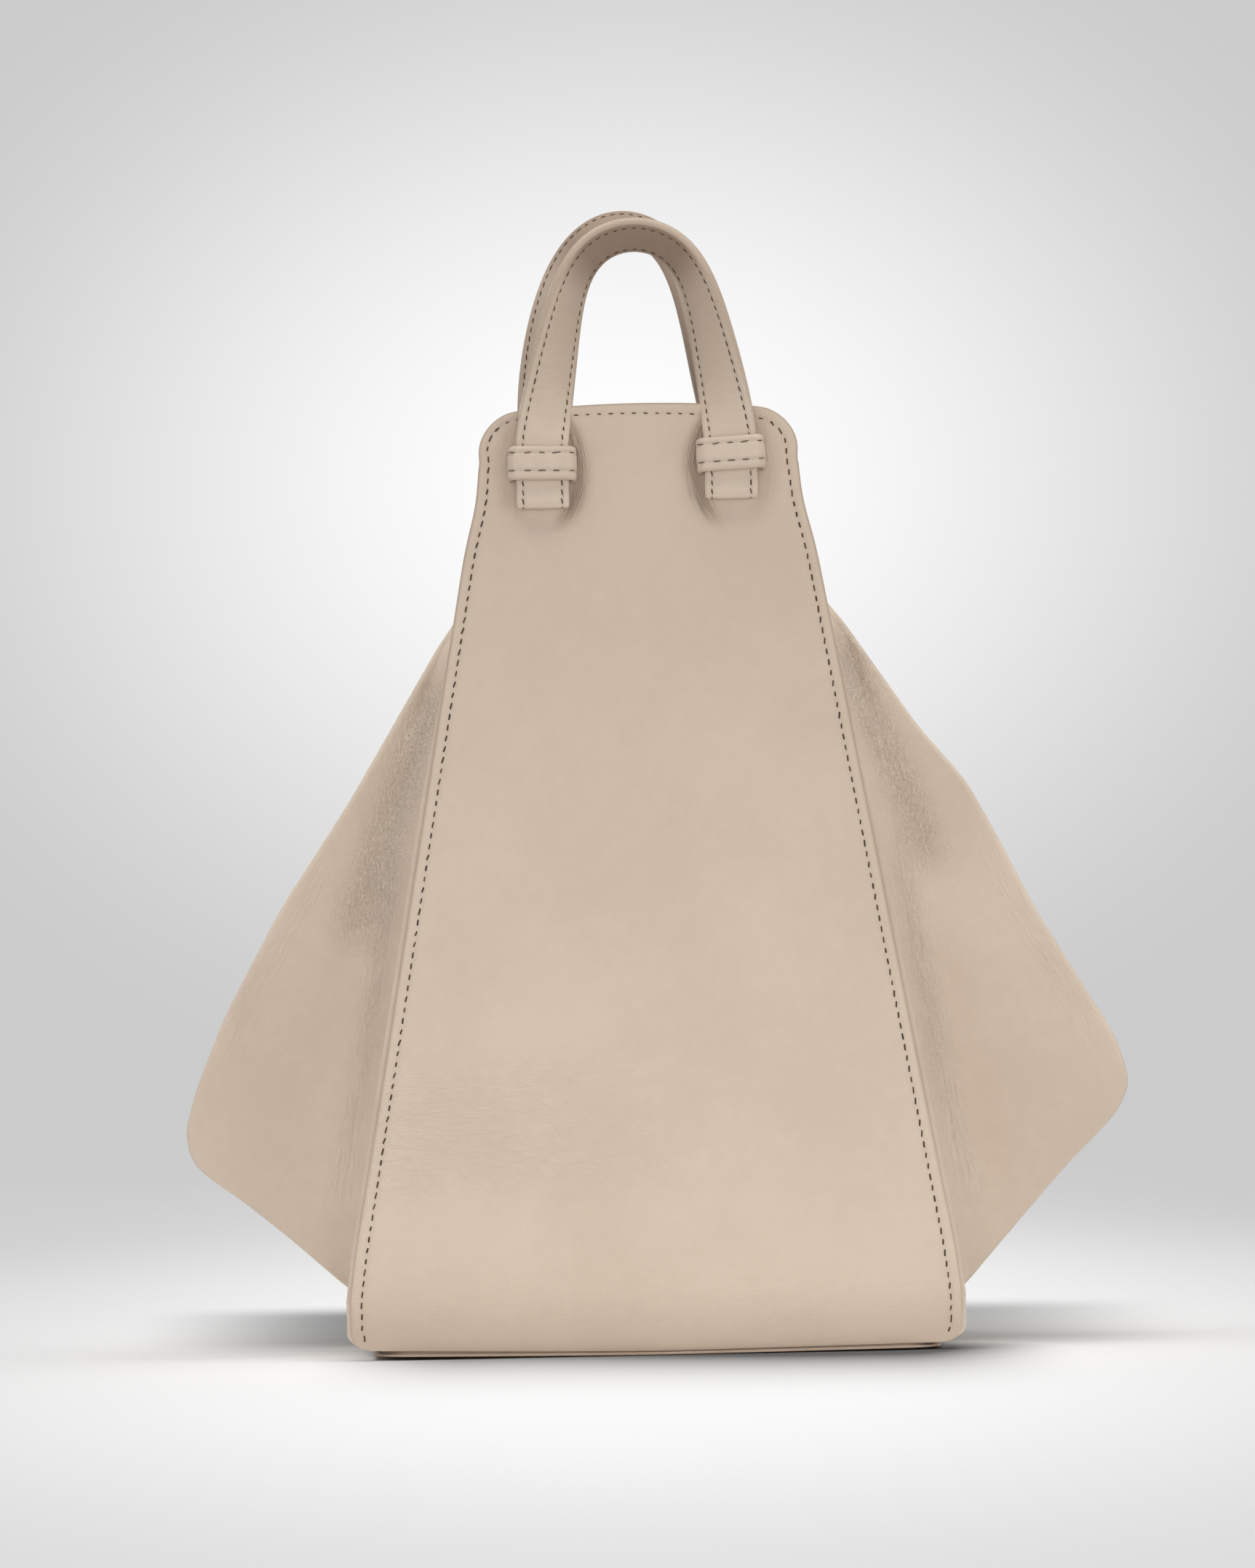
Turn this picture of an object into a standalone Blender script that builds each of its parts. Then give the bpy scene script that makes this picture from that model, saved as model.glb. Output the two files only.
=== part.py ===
"""A leather bag with two top handles, a tapering front and back, and side wings.

Metres, +Z up, front towards -Y, standing on z = 0 with its middle on the Z axis.
The front and back panels lean together towards the mouth. A gusset closes each
side behind the panels' edges, and its middle is pressed flat into a wing that
stands out in the bag's middle plane and swings forwards and back about its root.
"""
import math

import bmesh
import bpy

# Main panels
HEIGHT = 0.320             # floor to rim
BASE_HALF = 0.1035         # half width at the base
RIM_HALF = 0.0543          # half width under the rim's corners
TAPER_FROM = 0.018         # height where the sides start to draw in
TAPER_BELOW_RIM = 0.017    # and where they stop, measured down from the rim
NECK_DRAW = 0.0012         # the sides are drawn in a little more under the keepers
NECK_BELOW_RIM = 0.032
NECK_SPREAD = 0.012
RIM_CORNER = 0.0135        # corner radii
BASE_CORNER = 0.006
BASE_DEPTH_HALF = 0.065    # half depth over the panels at the base
RIM_DEPTH_HALF = 0.020     # and at the rim
BELLY = 1.25               # above 1 the panels bow outwards between base and rim

# Layers of leather and lining
GAP = 0.0003               # between pieces that touch
PANEL_T = 0.002
STIFFENER_T = 0.001
FACING_T = 0.0012
LINING_T = 0.001
GUSSET_T = 0.0016
BASE_T = 0.0024
BOARD_T = 0.0016
FACING_TALL = 0.045        # the facing and its stiffener under the rim
RIM_STEP = 0.0005          # both end this far below the panel's raw edge
LINING_INSET = 0.009       # inner layers stop short of the side seams
BASE_MARGIN = 0.0035       # the base panel's side edges lie this far inside the panels
BASE_LIP = 0.0005          # and its front and back edges stand out by this much
BASE_SHEET_CORNER = 0.008
BOARD_SLACK = 0.0008       # between the board and the gussets' lower walls

# Gussets and wings
FLANGE = 0.006             # seam that the gusset shares with a panel
GUSSET_TOP_BELOW_RIM = 0.020
WING_LOW = 0.024           # the lower end of the wing's root
WING_APEX_BELOW_RIM = 0.077
WING_T = 0.0036            # two layers of gusset leather pressed together
WING_EDGE = 0.0016         # rounding of the wing's folded edges
WING_TIP = 0.0025          # how far the wing reaches past its bending line at either end
LEAF = 0.001               # middle of each leaf from the bag's middle plane
BEND_OUT_TOP = 0.0015      # the bending line lies this far outside the panels' edges
BEND_OUT_LOW = 0.003
ROOT_RUN = 0.008           # length over which the leaves run side by side
MOUTH_FOLD = 0.014         # the gusset folds in by this much at the mouth
MOUTH_SPREAD = 0.005       # half width of that fold
FOOT_SPREAD = 0.030        # half width of the flat part of the lower wall
WINGS = {
    "left": {"sign": -1, "corner_out": 0.0628, "corner_z": 0.0741, "corner_r": 0.028, "bulge": 0.0},
    "right": {"sign": 1, "corner_out": 0.0605, "corner_z": 0.0886, "corner_r": 0.015, "bulge": 0.005},
}

# Handles, their folded ends and keepers
STRAP_W = 0.018
STRAP_T = 0.0032
STRAP_CHAMFER = 0.0008
HANDLE_HALF = 0.0314       # half the distance between the legs' middles
HANDLE_RISE = 0.0712       # from the keepers' tops to the crown's middle
HANDLE_LEAN = math.radians(12.0)
HANDLE_TWIST = math.radians(55.0)   # the front face turns down towards the crown
HINGE_OUT = 0.004          # the strap bends about a line this far before its middle
BACK_CROWN_SHIFT = 0.006   # the back handle's crown leans to the left
KEEPER_BELOW_RIM = 0.0184  # middle of the keepers
KEEPER_TALL = 0.0118
KEEPER_WALL = 0.0018
KEEPER_SLACK = 0.0007      # beside the strap
KEEPER_ROUND = 0.0014
END_LEAF = 0.0019          # each layer of the folded strap end
END_BELOW_RIM = 0.0338     # the fold's lowest point

# Closure and pocket
SNAP_R = 0.009
SNAP_T = 0.0022
SNAP_EDGE = 0.0004
SNAP_BORE = 0.0034
SNAP_FLOOR = 0.0006
STUD_R = 0.003
STUD_TALL = 0.0014
SNAP_BELOW_RIM = 0.020
POCKET_LOW = 0.120
POCKET_TALL = 0.085
POCKET_HALF = 0.055
POCKET_BULGE = 0.009
POCKET_T = 0.001
POCKET_SQUARENESS = 6      # a higher value gives a flatter front

PANEL_ROWS = 34
PANEL_COLUMNS = 8
WEB_STEPS = 6
HANDLE_STEPS = 28

FRONT, BACK = -1, 1
PANEL_FOOT = BASE_T + GAP
WING_APEX = HEIGHT - WING_APEX_BELOW_RIM
GUSSET_TOP = HEIGHT - GUSSET_TOP_BELOW_RIM
GUSSET_FOOT = PANEL_FOOT + GUSSET_T / 2     # its lower edge slants
BOARD_Z = BASE_T + GAP
BASE_LINING_Z = BOARD_Z + BOARD_T + GAP
LINING_FOOT = BASE_LINING_Z + LINING_T + GAP
FACING_FOOT = HEIGHT - FACING_TALL
STIFFENER_IN = PANEL_T + GAP
FACING_IN = STIFFENER_IN + STIFFENER_T + GAP


def clear_scene():
    """Start from an empty scene."""
    for thing in list(bpy.data.objects):
        bpy.data.objects.remove(thing, do_unlink=True)


def make_material(name, colour, roughness, metallic=0.0):
    """A plain surface; colour is linear RGB."""
    material = bpy.data.materials.new(name)
    material.use_nodes = True
    surface = material.node_tree.nodes["Principled BSDF"]
    surface.inputs["Base Color"].default_value = (*colour, 1.0)
    surface.inputs["Roughness"].default_value = roughness
    surface.inputs["Metallic"].default_value = metallic
    return material


def smooth(t):
    """Ease from 0 to 1."""
    t = min(max(t, 0.0), 1.0)
    return t * t * (3 - 2 * t)


def crowded(low, high, count):
    """Values from low to high, closer together at both ends, where corners turn."""
    return [low + (high - low) * (1 - math.cos(math.pi * i / count)) / 2 for i in range(count + 1)]


def corner_cut(rise, radius):
    """How far a rounded corner draws an edge in, at a rise above the corner's middle."""
    if rise <= 0:
        return 0.0
    return radius - math.sqrt(max(radius ** 2 - rise ** 2, 0.0))


def half_width(z):
    """Half width of the front and back panels at a height."""
    run = (z - TAPER_FROM) / (HEIGHT - TAPER_BELOW_RIM - TAPER_FROM)
    width = BASE_HALF + (RIM_HALF - BASE_HALF) * min(max(run, 0.0), 1.0)
    width -= NECK_DRAW * math.exp(-((z - HEIGHT + NECK_BELOW_RIM) / NECK_SPREAD) ** 2)
    width -= corner_cut(z - HEIGHT + RIM_CORNER, RIM_CORNER)
    return width - corner_cut(PANEL_FOOT + BASE_CORNER - z, BASE_CORNER)


def half_depth(z):
    """Distance of the panels' outer faces from the middle plane at a height."""
    return BASE_DEPTH_HALF - (BASE_DEPTH_HALF - RIM_DEPTH_HALF) * (z / HEIGHT) ** BELLY


def lean(z):
    """Angle by which the panels lean in at a height."""
    slope = (BASE_DEPTH_HALF - RIM_DEPTH_HALF) * BELLY / HEIGHT * (z / HEIGHT) ** (BELLY - 1)
    return math.atan(slope)


def on_panel(side, x, z, out):
    """A point at a distance outside a panel's outer face (negative is inside)."""
    return (x, side * (half_depth(z) + out * math.cos(lean(z))), z + out * math.sin(lean(z)))


def add_object(name, mesh, material):
    """Put a mesh into the bag's collection."""
    mesh.materials.append(material)
    thing = bpy.data.objects.new(name, mesh)
    collection.objects.link(thing)
    return thing


def solidify(thing, thickness, offset):
    """Give an open surface its thickness."""
    modifier = thing.modifiers.new("Thickness", "SOLIDIFY")
    modifier.thickness = thickness
    modifier.offset = offset
    modifier.use_even_offset = True


def bevel(thing, width, segments=2):
    """Round a piece's sharp edges."""
    modifier = thing.modifiers.new("Rounding", "BEVEL")
    modifier.width = width
    modifier.segments = segments
    modifier.limit_method = "ANGLE"
    modifier.angle_limit = math.radians(50)


def sheet(name, rows, material, thickness, offset=-1, holes=()):
    """A skin lofted through rows of points; holes lists (row, column) cells left open."""
    across = len(rows[0])
    faces = []
    for r in range(len(rows) - 1):
        for c in range(across - 1):
            if (r, c) not in holes:
                at = r * across + c
                faces.append((at, at + 1, at + across + 1, at + across))
    mesh = bpy.data.meshes.new(name)
    mesh.from_pydata([point for row in rows for point in row], [], faces)
    mesh.shade_smooth()
    thing = add_object(name, mesh, material)
    solidify(thing, thickness, offset)
    return thing


def plate(name, outline, material, thickness, origin=(0, 0, 0)):
    """A flat outline given its thickness evenly to both sides."""
    form = bmesh.new()
    form.faces.new([form.verts.new([p - o for p, o in zip(point, origin)]) for point in outline])
    mesh = bpy.data.meshes.new(name)
    form.to_mesh(mesh)
    form.free()
    thing = add_object(name, mesh, material)
    thing.location = origin
    solidify(thing, thickness, 0)
    return thing


def turned(name, profile, material):
    """A profile of (radius, height) points, turned about Z."""
    mesh = bpy.data.meshes.new(name)
    edges = [(i, i + 1) for i in range(len(profile) - 1)]
    mesh.from_pydata([(r, 0, z) for r, z in profile], edges, [])
    thing = add_object(name, mesh, material)
    screw = thing.modifiers.new("Turn", "SCREW")
    screw.steps = 28
    screw.render_steps = 28
    screw.use_merge_vertices = True
    screw.merge_threshold = 0.00005
    screw.use_smooth_shade = False
    return thing


def fillet(start, corner, end, radius, steps=8):
    """Points of the arc that rounds the corner between two straight edges."""
    def towards(point):
        run = (point[0] - corner[0], point[1] - corner[1])
        length = math.hypot(*run)
        return (run[0] / length, run[1] / length)

    a, b = towards(start), towards(end)
    half = math.acos(a[0] * b[0] + a[1] * b[1]) / 2
    middle = (a[0] + b[0], a[1] + b[1])
    reach = radius / math.sin(half) / math.hypot(*middle)
    centre = (corner[0] + middle[0] * reach, corner[1] + middle[1] * reach)
    touch = radius / math.tan(half)
    first = (corner[0] + a[0] * touch - centre[0], corner[1] + a[1] * touch - centre[1])
    last = (corner[0] + b[0] * touch - centre[0], corner[1] + b[1] * touch - centre[1])
    sweep = math.pi - 2 * half
    points = []
    for i in range(steps + 1):
        t = i / steps
        near = math.sin((1 - t) * sweep) / math.sin(sweep)
        far = math.sin(t * sweep) / math.sin(sweep)
        points.append((centre[0] + first[0] * near + last[0] * far,
                       centre[1] + first[1] * near + last[1] * far))
    return points


def layer(name, side, low, high, inside, thickness, inset, material):
    """One layer of a main wall, lying inside the panel's outer face."""
    rows = []
    for z in crowded(low, high, PANEL_ROWS):
        reach = half_width(z) - inset
        row = []
        for c in range(PANEL_COLUMNS + 1):
            x = -side * reach * (2 * c / PANEL_COLUMNS - 1)
            row.append((x, side * (half_depth(z) - inside), z))
        rows.append(row)
    return sheet(name, rows, material, thickness)


def walls(side, word):
    """The layers of one main wall: panel, stiffener and facing at the rim, and lining."""
    layer(f"{word}_panel", side, PANEL_FOOT, HEIGHT, 0, PANEL_T, 0, leather)
    layer(f"{word}_rim_stiffener", side, FACING_FOOT, HEIGHT - RIM_STEP, STIFFENER_IN, STIFFENER_T,
          LINING_INSET, board)
    layer(f"{word}_facing", side, FACING_FOOT, HEIGHT - RIM_STEP, FACING_IN, FACING_T,
          LINING_INSET, leather)
    layer(f"{word}_lining", side, LINING_FOOT, FACING_FOOT - GAP, STIFFENER_IN, LINING_T,
          LINING_INSET, suede)


def rounded_rectangle(half_x, half_y, radius, z):
    """Outline in a level plane."""
    points = []
    for corner in range(4):
        cx = (half_x - radius) * (1 if corner in (0, 3) else -1)
        cy = (half_y - radius) * (1 if corner in (0, 1) else -1)
        for i in range(6):
            angle = math.pi / 2 * (corner + i / 5)
            points.append((cx + radius * math.cos(angle), cy + radius * math.sin(angle), z))
    return points


def base():
    """Outer leather, board and lining of the base, one on top of the other."""
    plate("base_panel",
          rounded_rectangle(BASE_HALF - BASE_MARGIN, BASE_DEPTH_HALF + BASE_LIP, BASE_SHEET_CORNER,
                            BASE_T / 2), leather, BASE_T)
    half_x = half_width(PANEL_FOOT) - FLANGE - GUSSET_T / 2 - BOARD_SLACK
    half_y = half_depth(LINING_FOOT) - PANEL_T - GAP
    plate("base_board",
          rounded_rectangle(half_x, half_y, BASE_SHEET_CORNER / 2, BOARD_Z + BOARD_T / 2),
          board, BOARD_T)
    plate("base_lining",
          rounded_rectangle(half_x, half_y, BASE_SHEET_CORNER / 2, BASE_LINING_Z + LINING_T / 2),
          suede, LINING_T)


def bending_line(z):
    """Distance of the line about which a wing swings from the bag's middle, at a height."""
    low = half_width(WING_LOW) + BEND_OUT_LOW
    top = half_width(WING_APEX) + BEND_OUT_TOP
    return low + (top - low) * (z - WING_LOW) / (WING_APEX - WING_LOW)


def root(z):
    """Where the gusset's leaves end: distance from the middle, half their spread, and their run."""
    clear = WING_T / 2 + GAP
    if z < WING_LOW:
        down = smooth((WING_LOW - z) / (WING_LOW - GUSSET_FOOT))
        out = bending_line(WING_LOW) - clear - FLANGE * down
        return out, LEAF + (FOOT_SPREAD - LEAF) * down, ROOT_RUN * (1 - down)
    if z > WING_APEX:
        up = smooth((z - WING_APEX) / (GUSSET_TOP - WING_APEX))
        drawn = half_width(WING_APEX) - half_width(z)
        out = bending_line(WING_APEX) - clear - drawn - MOUTH_FOLD * up
        return out, LEAF + (MOUTH_SPREAD - LEAF) * up, ROOT_RUN * (1 - up)
    return bending_line(z) - clear, LEAF, ROOT_RUN


def web(z):
    """Half of a gusset's section at a height: seam flange, then a curve out to the root."""
    edge = half_width(z)
    seam_y = half_depth(z) - PANEL_T - GAP - GUSSET_T / 2
    root_x, root_y, run = root(z)
    inner = edge - FLANGE
    guide = ((inner, seam_y), (inner, seam_y - 0.45 * (seam_y - root_y)), (root_x - run, root_y),
             (root_x, root_y))
    points = [(edge, seam_y), (edge - FLANGE / 2, seam_y)]
    for i in range(WEB_STEPS + 1):
        t = i / WEB_STEPS
        weights = ((1 - t) ** 3, 3 * t * (1 - t) ** 2, 3 * t * t * (1 - t), t ** 3)
        points.append(tuple(sum(w * g[k] for w, g in zip(weights, guide)) for k in (0, 1)))
    return points


def gusset(word, sign):
    """One side of the bag, open along the line where the wing's leaves come out."""
    low = crowded(GUSSET_FOOT, WING_LOW, 4)
    high = crowded(WING_APEX, GUSSET_TOP, 5)
    heights = low[:-1] + crowded(WING_LOW, WING_APEX, 14) + high[1:]
    rows = []
    for z in heights:
        half = web(z)
        row = [(sign * x, -y, z) for x, y in half] + [(sign * x, y, z) for x, y in reversed(half)]
        rows.append(row if sign > 0 else row[::-1])
    middle = len(rows[0]) // 2 - 1
    holes = {(r, middle) for r, z in enumerate(heights[:-1]) if WING_LOW <= z < WING_APEX}
    sheet(f"{word}_gusset", rows, leather, GUSSET_T, offset=0, holes=holes)


def wing(word, sign, corner_out, corner_z, corner_r, bulge):
    """The doubled leather between the leaves; its origin and its round root lie on the bending line."""
    foot = WING_LOW + WING_T / 2
    head = WING_APEX - WING_T / 2
    low = (bending_line(foot) + WING_TIP, foot)
    apex = (bending_line(head) + WING_TIP, head)
    arc = fillet(low, (BASE_HALF + corner_out, corner_z), apex, corner_r)
    edge = []
    for i in range(1, 10):
        t = i / 10
        swell = bulge * math.sin(math.pi * t)
        edge.append((arc[-1][0] + (apex[0] - arc[-1][0]) * t + swell,
                     arc[-1][1] + (apex[1] - arc[-1][1]) * t + swell / 2))
    inner = WING_T / 2
    outline = [(bending_line(foot) - inner, foot), low] + arc + edge
    outline += [apex, (bending_line(head) - inner, head)]
    points = [(sign * x, 0, z) for x, z in outline]
    thing = plate(f"{word}_wing", points if sign > 0 else points[::-1], leather, WING_T,
                  origin=(sign * bending_line(head), 0, head))
    bevel(thing, WING_EDGE, segments=3)


def keeper_outline():
    """A band bent round the strap: its two feet rest on the panel."""
    inner_x = STRAP_W / 2 + KEEPER_SLACK
    inner_y = 2 * END_LEAF + 3 * GAP
    outer_x = inner_x + KEEPER_WALL
    outer_y = inner_y + KEEPER_WALL
    rounding = KEEPER_ROUND + KEEPER_WALL

    def bow(x, y, radius, sweep):
        points = []
        for i in sweep:
            angle = math.pi / 2 * i / 4
            points.append((x - radius + radius * math.cos(angle), y - radius + radius * math.sin(angle)))
        return points

    outer = [(outer_x, GAP)] + bow(outer_x, outer_y, rounding, range(5))
    inner = bow(inner_x, inner_y, KEEPER_ROUND, reversed(range(5))) + [(inner_x, GAP)]
    half = outer, inner
    left_outer = [(-x, y) for x, y in reversed(half[0])]
    left_inner = [(-x, y) for x, y in reversed(half[1])]
    return [(x, -y, 0) for x, y in outer + left_outer + left_inner + inner]


def end_outline(drop, rise):
    """Side view of the strap's end, folded up behind itself at the bottom."""
    thick = 2 * END_LEAF + GAP
    radius = thick / 2
    slot = GAP / 2
    middle = -(GAP + radius)
    points = [(middle - radius, rise)]
    for i in range(9):
        angle = math.pi + math.pi * i / 8
        points.append((middle + radius * math.cos(angle), radius - drop + radius * math.sin(angle)))
    points += [(middle + radius, rise), (middle + slot, rise), (middle + slot, radius - drop),
               (middle - slot, radius - drop), (middle - slot, rise)]
    return [(0, y, z) for y, z in points]


def anchors(side, word):
    """Keepers and folded strap ends, which lie flat on a panel."""
    keeper_z = HEIGHT - KEEPER_BELOW_RIM
    angle = lean(keeper_z)
    drop = (END_BELOW_RIM - KEEPER_BELOW_RIM) / math.cos(angle)
    turn = (-angle, 0, 0 if side == FRONT else math.pi)
    for hand, sign in (("left", -1), ("right", 1)):
        place = on_panel(side, sign * HANDLE_HALF, keeper_z, 0)
        keeper = plate(f"{word}_{hand}_keeper", keeper_outline(), leather, KEEPER_TALL)
        end = plate(f"{word}_{hand}_strap_end", end_outline(drop, KEEPER_TALL / 2), leather, STRAP_W)
        for thing in (keeper, end):
            thing.location = place
            thing.rotation_euler = turn


def strap_section(middle, out, face):
    """Eight points of the strap's chamfered section; out runs across it, face is its front."""
    w, t, c = STRAP_W / 2, STRAP_T / 2, STRAP_CHAMFER
    corners = [(w, t - c), (w - c, t), (c - w, t), (-w, t - c),
               (-w, c - t), (c - w, -t), (w - c, -t), (w, c - t)]
    return [tuple(m + a * o + b * f for m, o, f in zip(middle, out, face)) for a, b in corners]


def handle(side, word, shift):
    """A strap arch from one keeper to the other; its origin is on the line it bends about."""
    sections = []
    for i in range(HANDLE_STEPS + 1):
        angle = math.pi * i / HANDLE_STEPS
        rise = math.sin(angle)
        middle = (HANDLE_HALF * math.cos(angle) + shift * rise ** 2, HINGE_OUT, HANDLE_RISE * rise)
        out_x, out_z = math.cos(angle) / HANDLE_HALF, rise / HANDLE_RISE
        size = math.hypot(out_x, out_z)
        twist = HANDLE_TWIST * rise ** 3
        turn, keep = math.sin(twist), math.cos(twist)
        out = (out_x / size * keep, -turn, out_z / size * keep)
        face = (-out_x / size * turn, -keep, -out_z / size * turn)
        sections.append(strap_section(middle, out, face))
    count = len(sections[0])
    faces = [tuple(range(count)), tuple(reversed(range(len(sections) * count - count, len(sections) * count)))]
    for s in range(len(sections) - 1):
        for c in range(count):
            a, b = s * count + c, s * count + (c + 1) % count
            faces.append((b, a, a + count, b + count))
    mesh = bpy.data.meshes.new(f"{word}_handle")
    mesh.from_pydata([point for section in sections for point in section], [], faces)
    thing = add_object(f"{word}_handle", mesh, leather)
    keeper_z = HEIGHT - KEEPER_BELOW_RIM
    top = keeper_z + (KEEPER_TALL / 2 + GAP) * math.cos(lean(keeper_z))
    out = GAP + END_LEAF + GAP / 2 + HINGE_OUT
    thing.location = on_panel(side, 0, top, out)
    thing.rotation_euler = (-HANDLE_LEAN, 0, 0 if side == FRONT else math.pi)
    return thing


def snap():
    """Magnetic closure: a socket on the front facing and a stud on the back one."""
    z = HEIGHT - SNAP_BELOW_RIM
    inside = FACING_IN + FACING_T + GAP
    socket = turned("snap_socket", [(0, SNAP_FLOOR), (SNAP_BORE, SNAP_FLOOR), (SNAP_BORE, SNAP_T),
                                    (SNAP_R - SNAP_EDGE, SNAP_T), (SNAP_R, SNAP_T - SNAP_EDGE),
                                    (SNAP_R, 0), (0, 0)], metal)
    stud = turned("snap_stud", [(0, SNAP_T + STUD_TALL), (STUD_R, SNAP_T + STUD_TALL),
                                (STUD_R, SNAP_T), (SNAP_R - SNAP_EDGE, SNAP_T),
                                (SNAP_R, SNAP_T - SNAP_EDGE), (SNAP_R, 0), (0, 0)], metal)
    for thing, side in ((socket, FRONT), (stud, BACK)):
        thing.location = on_panel(side, 0, z, -inside)
        thing.rotation_euler = (-math.pi / 2 - lean(z), 0, 0 if side == FRONT else math.pi)


def pocket():
    """A slip pocket on the back lining, open at its top."""
    inside = STIFFENER_IN + LINING_T + GAP
    rows = []
    for up in crowded(0, 1, 16):
        z = POCKET_LOW + POCKET_TALL * up
        rise = 1 - (1 - up) ** POCKET_SQUARENESS
        row = []
        for across in crowded(-1, 1, 14):
            swell = POCKET_BULGE * rise * (1 - abs(across) ** POCKET_SQUARENESS)
            row.append((POCKET_HALF * across, BACK * (half_depth(z) - inside - POCKET_T - swell), z))
        rows.append(row)
    sheet("inner_pocket", rows, suede, POCKET_T, offset=-1)


clear_scene()
collection = bpy.data.collections.new("winged_top_handle_bag")
bpy.context.scene.collection.children.link(collection)
leather = make_material("beige_leather", (0.58, 0.47, 0.37), 0.45)
suede = make_material("lining_suede", (0.30, 0.22, 0.16), 0.85)
board = make_material("stiffener_board", (0.35, 0.30, 0.24), 0.9)
metal = make_material("snap_metal", (0.55, 0.50, 0.42), 0.3, metallic=1.0)

walls(FRONT, "front")
walls(BACK, "back")
base()
for hand, sizes in WINGS.items():
    gusset(hand, sizes["sign"])
    wing(hand, **sizes)
anchors(FRONT, "front")
anchors(BACK, "back")
handle(FRONT, "front", 0.0)
handle(BACK, "back", BACK_CROWN_SHIFT)
snap()
pocket()
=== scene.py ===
import math

import bmesh
import bpy
import numpy as np
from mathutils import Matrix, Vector
from mathutils.kdtree import KDTree


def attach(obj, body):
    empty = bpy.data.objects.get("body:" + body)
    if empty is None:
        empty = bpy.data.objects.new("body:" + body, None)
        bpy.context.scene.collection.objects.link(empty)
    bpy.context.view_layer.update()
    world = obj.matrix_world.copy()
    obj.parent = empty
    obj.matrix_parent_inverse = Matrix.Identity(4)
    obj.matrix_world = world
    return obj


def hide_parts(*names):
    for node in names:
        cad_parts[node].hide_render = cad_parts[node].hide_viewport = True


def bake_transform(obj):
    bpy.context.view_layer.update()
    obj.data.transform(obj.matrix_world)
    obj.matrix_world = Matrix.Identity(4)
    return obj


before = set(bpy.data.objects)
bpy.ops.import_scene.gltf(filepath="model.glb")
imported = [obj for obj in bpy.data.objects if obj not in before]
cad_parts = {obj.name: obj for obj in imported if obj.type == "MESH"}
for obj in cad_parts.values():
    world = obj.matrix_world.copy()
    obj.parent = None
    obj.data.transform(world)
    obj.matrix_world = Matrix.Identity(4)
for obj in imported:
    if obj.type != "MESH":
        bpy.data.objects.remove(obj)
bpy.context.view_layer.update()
scene = bpy.context.scene

# Camera. A long lens four metres off, level with the bag's middle. It is turned a little
# about its own axis, because the bag leans to the left in the photograph.
CAMERA_FROM = 4.0
CAMERA_HIGH = 0.192
CAMERA_ASIDE = -0.006
CAMERA_ROLL = math.radians(1.2)
VIEW_TALL = 0.5304
VIEW_PLANE = 0.04          # the view is VIEW_TALL high at this distance before the bag's middle

lens = bpy.data.cameras.new("photo_camera")
lens.sensor_width = 36.0
lens.lens = lens.sensor_width * (CAMERA_FROM - VIEW_PLANE) / VIEW_TALL
camera = bpy.data.objects.new("photo_camera", lens)
camera.location = (CAMERA_ASIDE, -CAMERA_FROM, CAMERA_HIGH)
camera.rotation_euler = (math.pi / 2, CAMERA_ROLL, 0)
scene.collection.objects.link(camera)
scene.camera = camera
scene.view_settings.view_transform = "Standard"

# Floor and background. A white table top under the bag, which fades into a pale grey wall
# with a soft glow behind the bag.
FLOOR_REACH = 2.4
FLOOR_FORWARD = 0.30       # the floor's middle lies this far before the bag
FLOOR_BELOW = 0.0002
BASE_DEPTH_HALF = 0.065
FLOOR_FADE = (0.85, 2.25)
# the floor's colour, lighter in a painted pool of light before the bag
FLOOR_MIDDLE = 0.885
FLOOR_OUTSIDE = 0.70
FLOOR_POOL = (0.03, 0.30)
POOL_LONG = 0.24           # the bright pool is drawn out along the view by this share
SHADE_LEFT = 0.70          # the soft shade beside the base is deepened in the floor's colour
SHADE_RIGHT = 0.54
SHADE_ASIDE = (0.100, 0.195)
SHADE_ALONG = (0.09, 0.20)
SHADE_BACK = 0.15
SHADE_TILT = 0.2           # and it lies farther back on the left
CONTACT_LEFT = 0.66        # the shade before the base is deepened too
CONTACT_RIGHT = 1.06
CONTACT_DEEPEST = 0.86
CONTACT_RUN = 0.40
CONTACT_FALL = 3.4
CONTACT_ASIDE = (0.072, 0.134)
CONTACT_SHIFT = 0.010
CONTACT_BACK = (-0.055, 0.020)
WALL_GLOW = 1.0
WALL_GREY = 0.60
GLOW_UP = 0.026            # how far above level the glow's middle is seen
GLOW_TALL = 1.3
GLOW_RUN = (0.0, 0.075)
STUDIO_LIGHT = 0.30
FLOOR_SIDES = 96
LEAST_AHEAD = 0.05         # keeps the glow's divisions finite where the view turns away
WHITE = (1, 1, 1, 1)


def give(tree, inputs, values):
    """Set inputs to plain values, or link them to sockets or to the first outputs of nodes."""
    for name, value in values.items():
        if isinstance(value, bpy.types.Node):
            value = value.outputs[0]
        if isinstance(value, bpy.types.NodeSocket):
            tree.links.new(value, inputs[name])
        else:
            inputs[name].default_value = value


def node(tree, kind, values=None, **settings):
    """Add a node, with settings on itself and values or links for its inputs."""
    made = tree.nodes.new(kind)
    for name, value in settings.items():
        setattr(made, name, value)
    give(tree, made.inputs, values or {})
    return made


def maths(operation, *values):
    """One step of arithmetic on numbers, sockets and nodes."""
    tree = next(value.id_data for value in values if hasattr(value, "id_data"))
    return node(tree, "ShaderNodeMath", dict(enumerate(values)), operation=operation)


def times(first, *others):
    """The product of numbers, sockets and nodes."""
    for other in others:
        first = maths("MULTIPLY", first, other)
    return first


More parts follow.
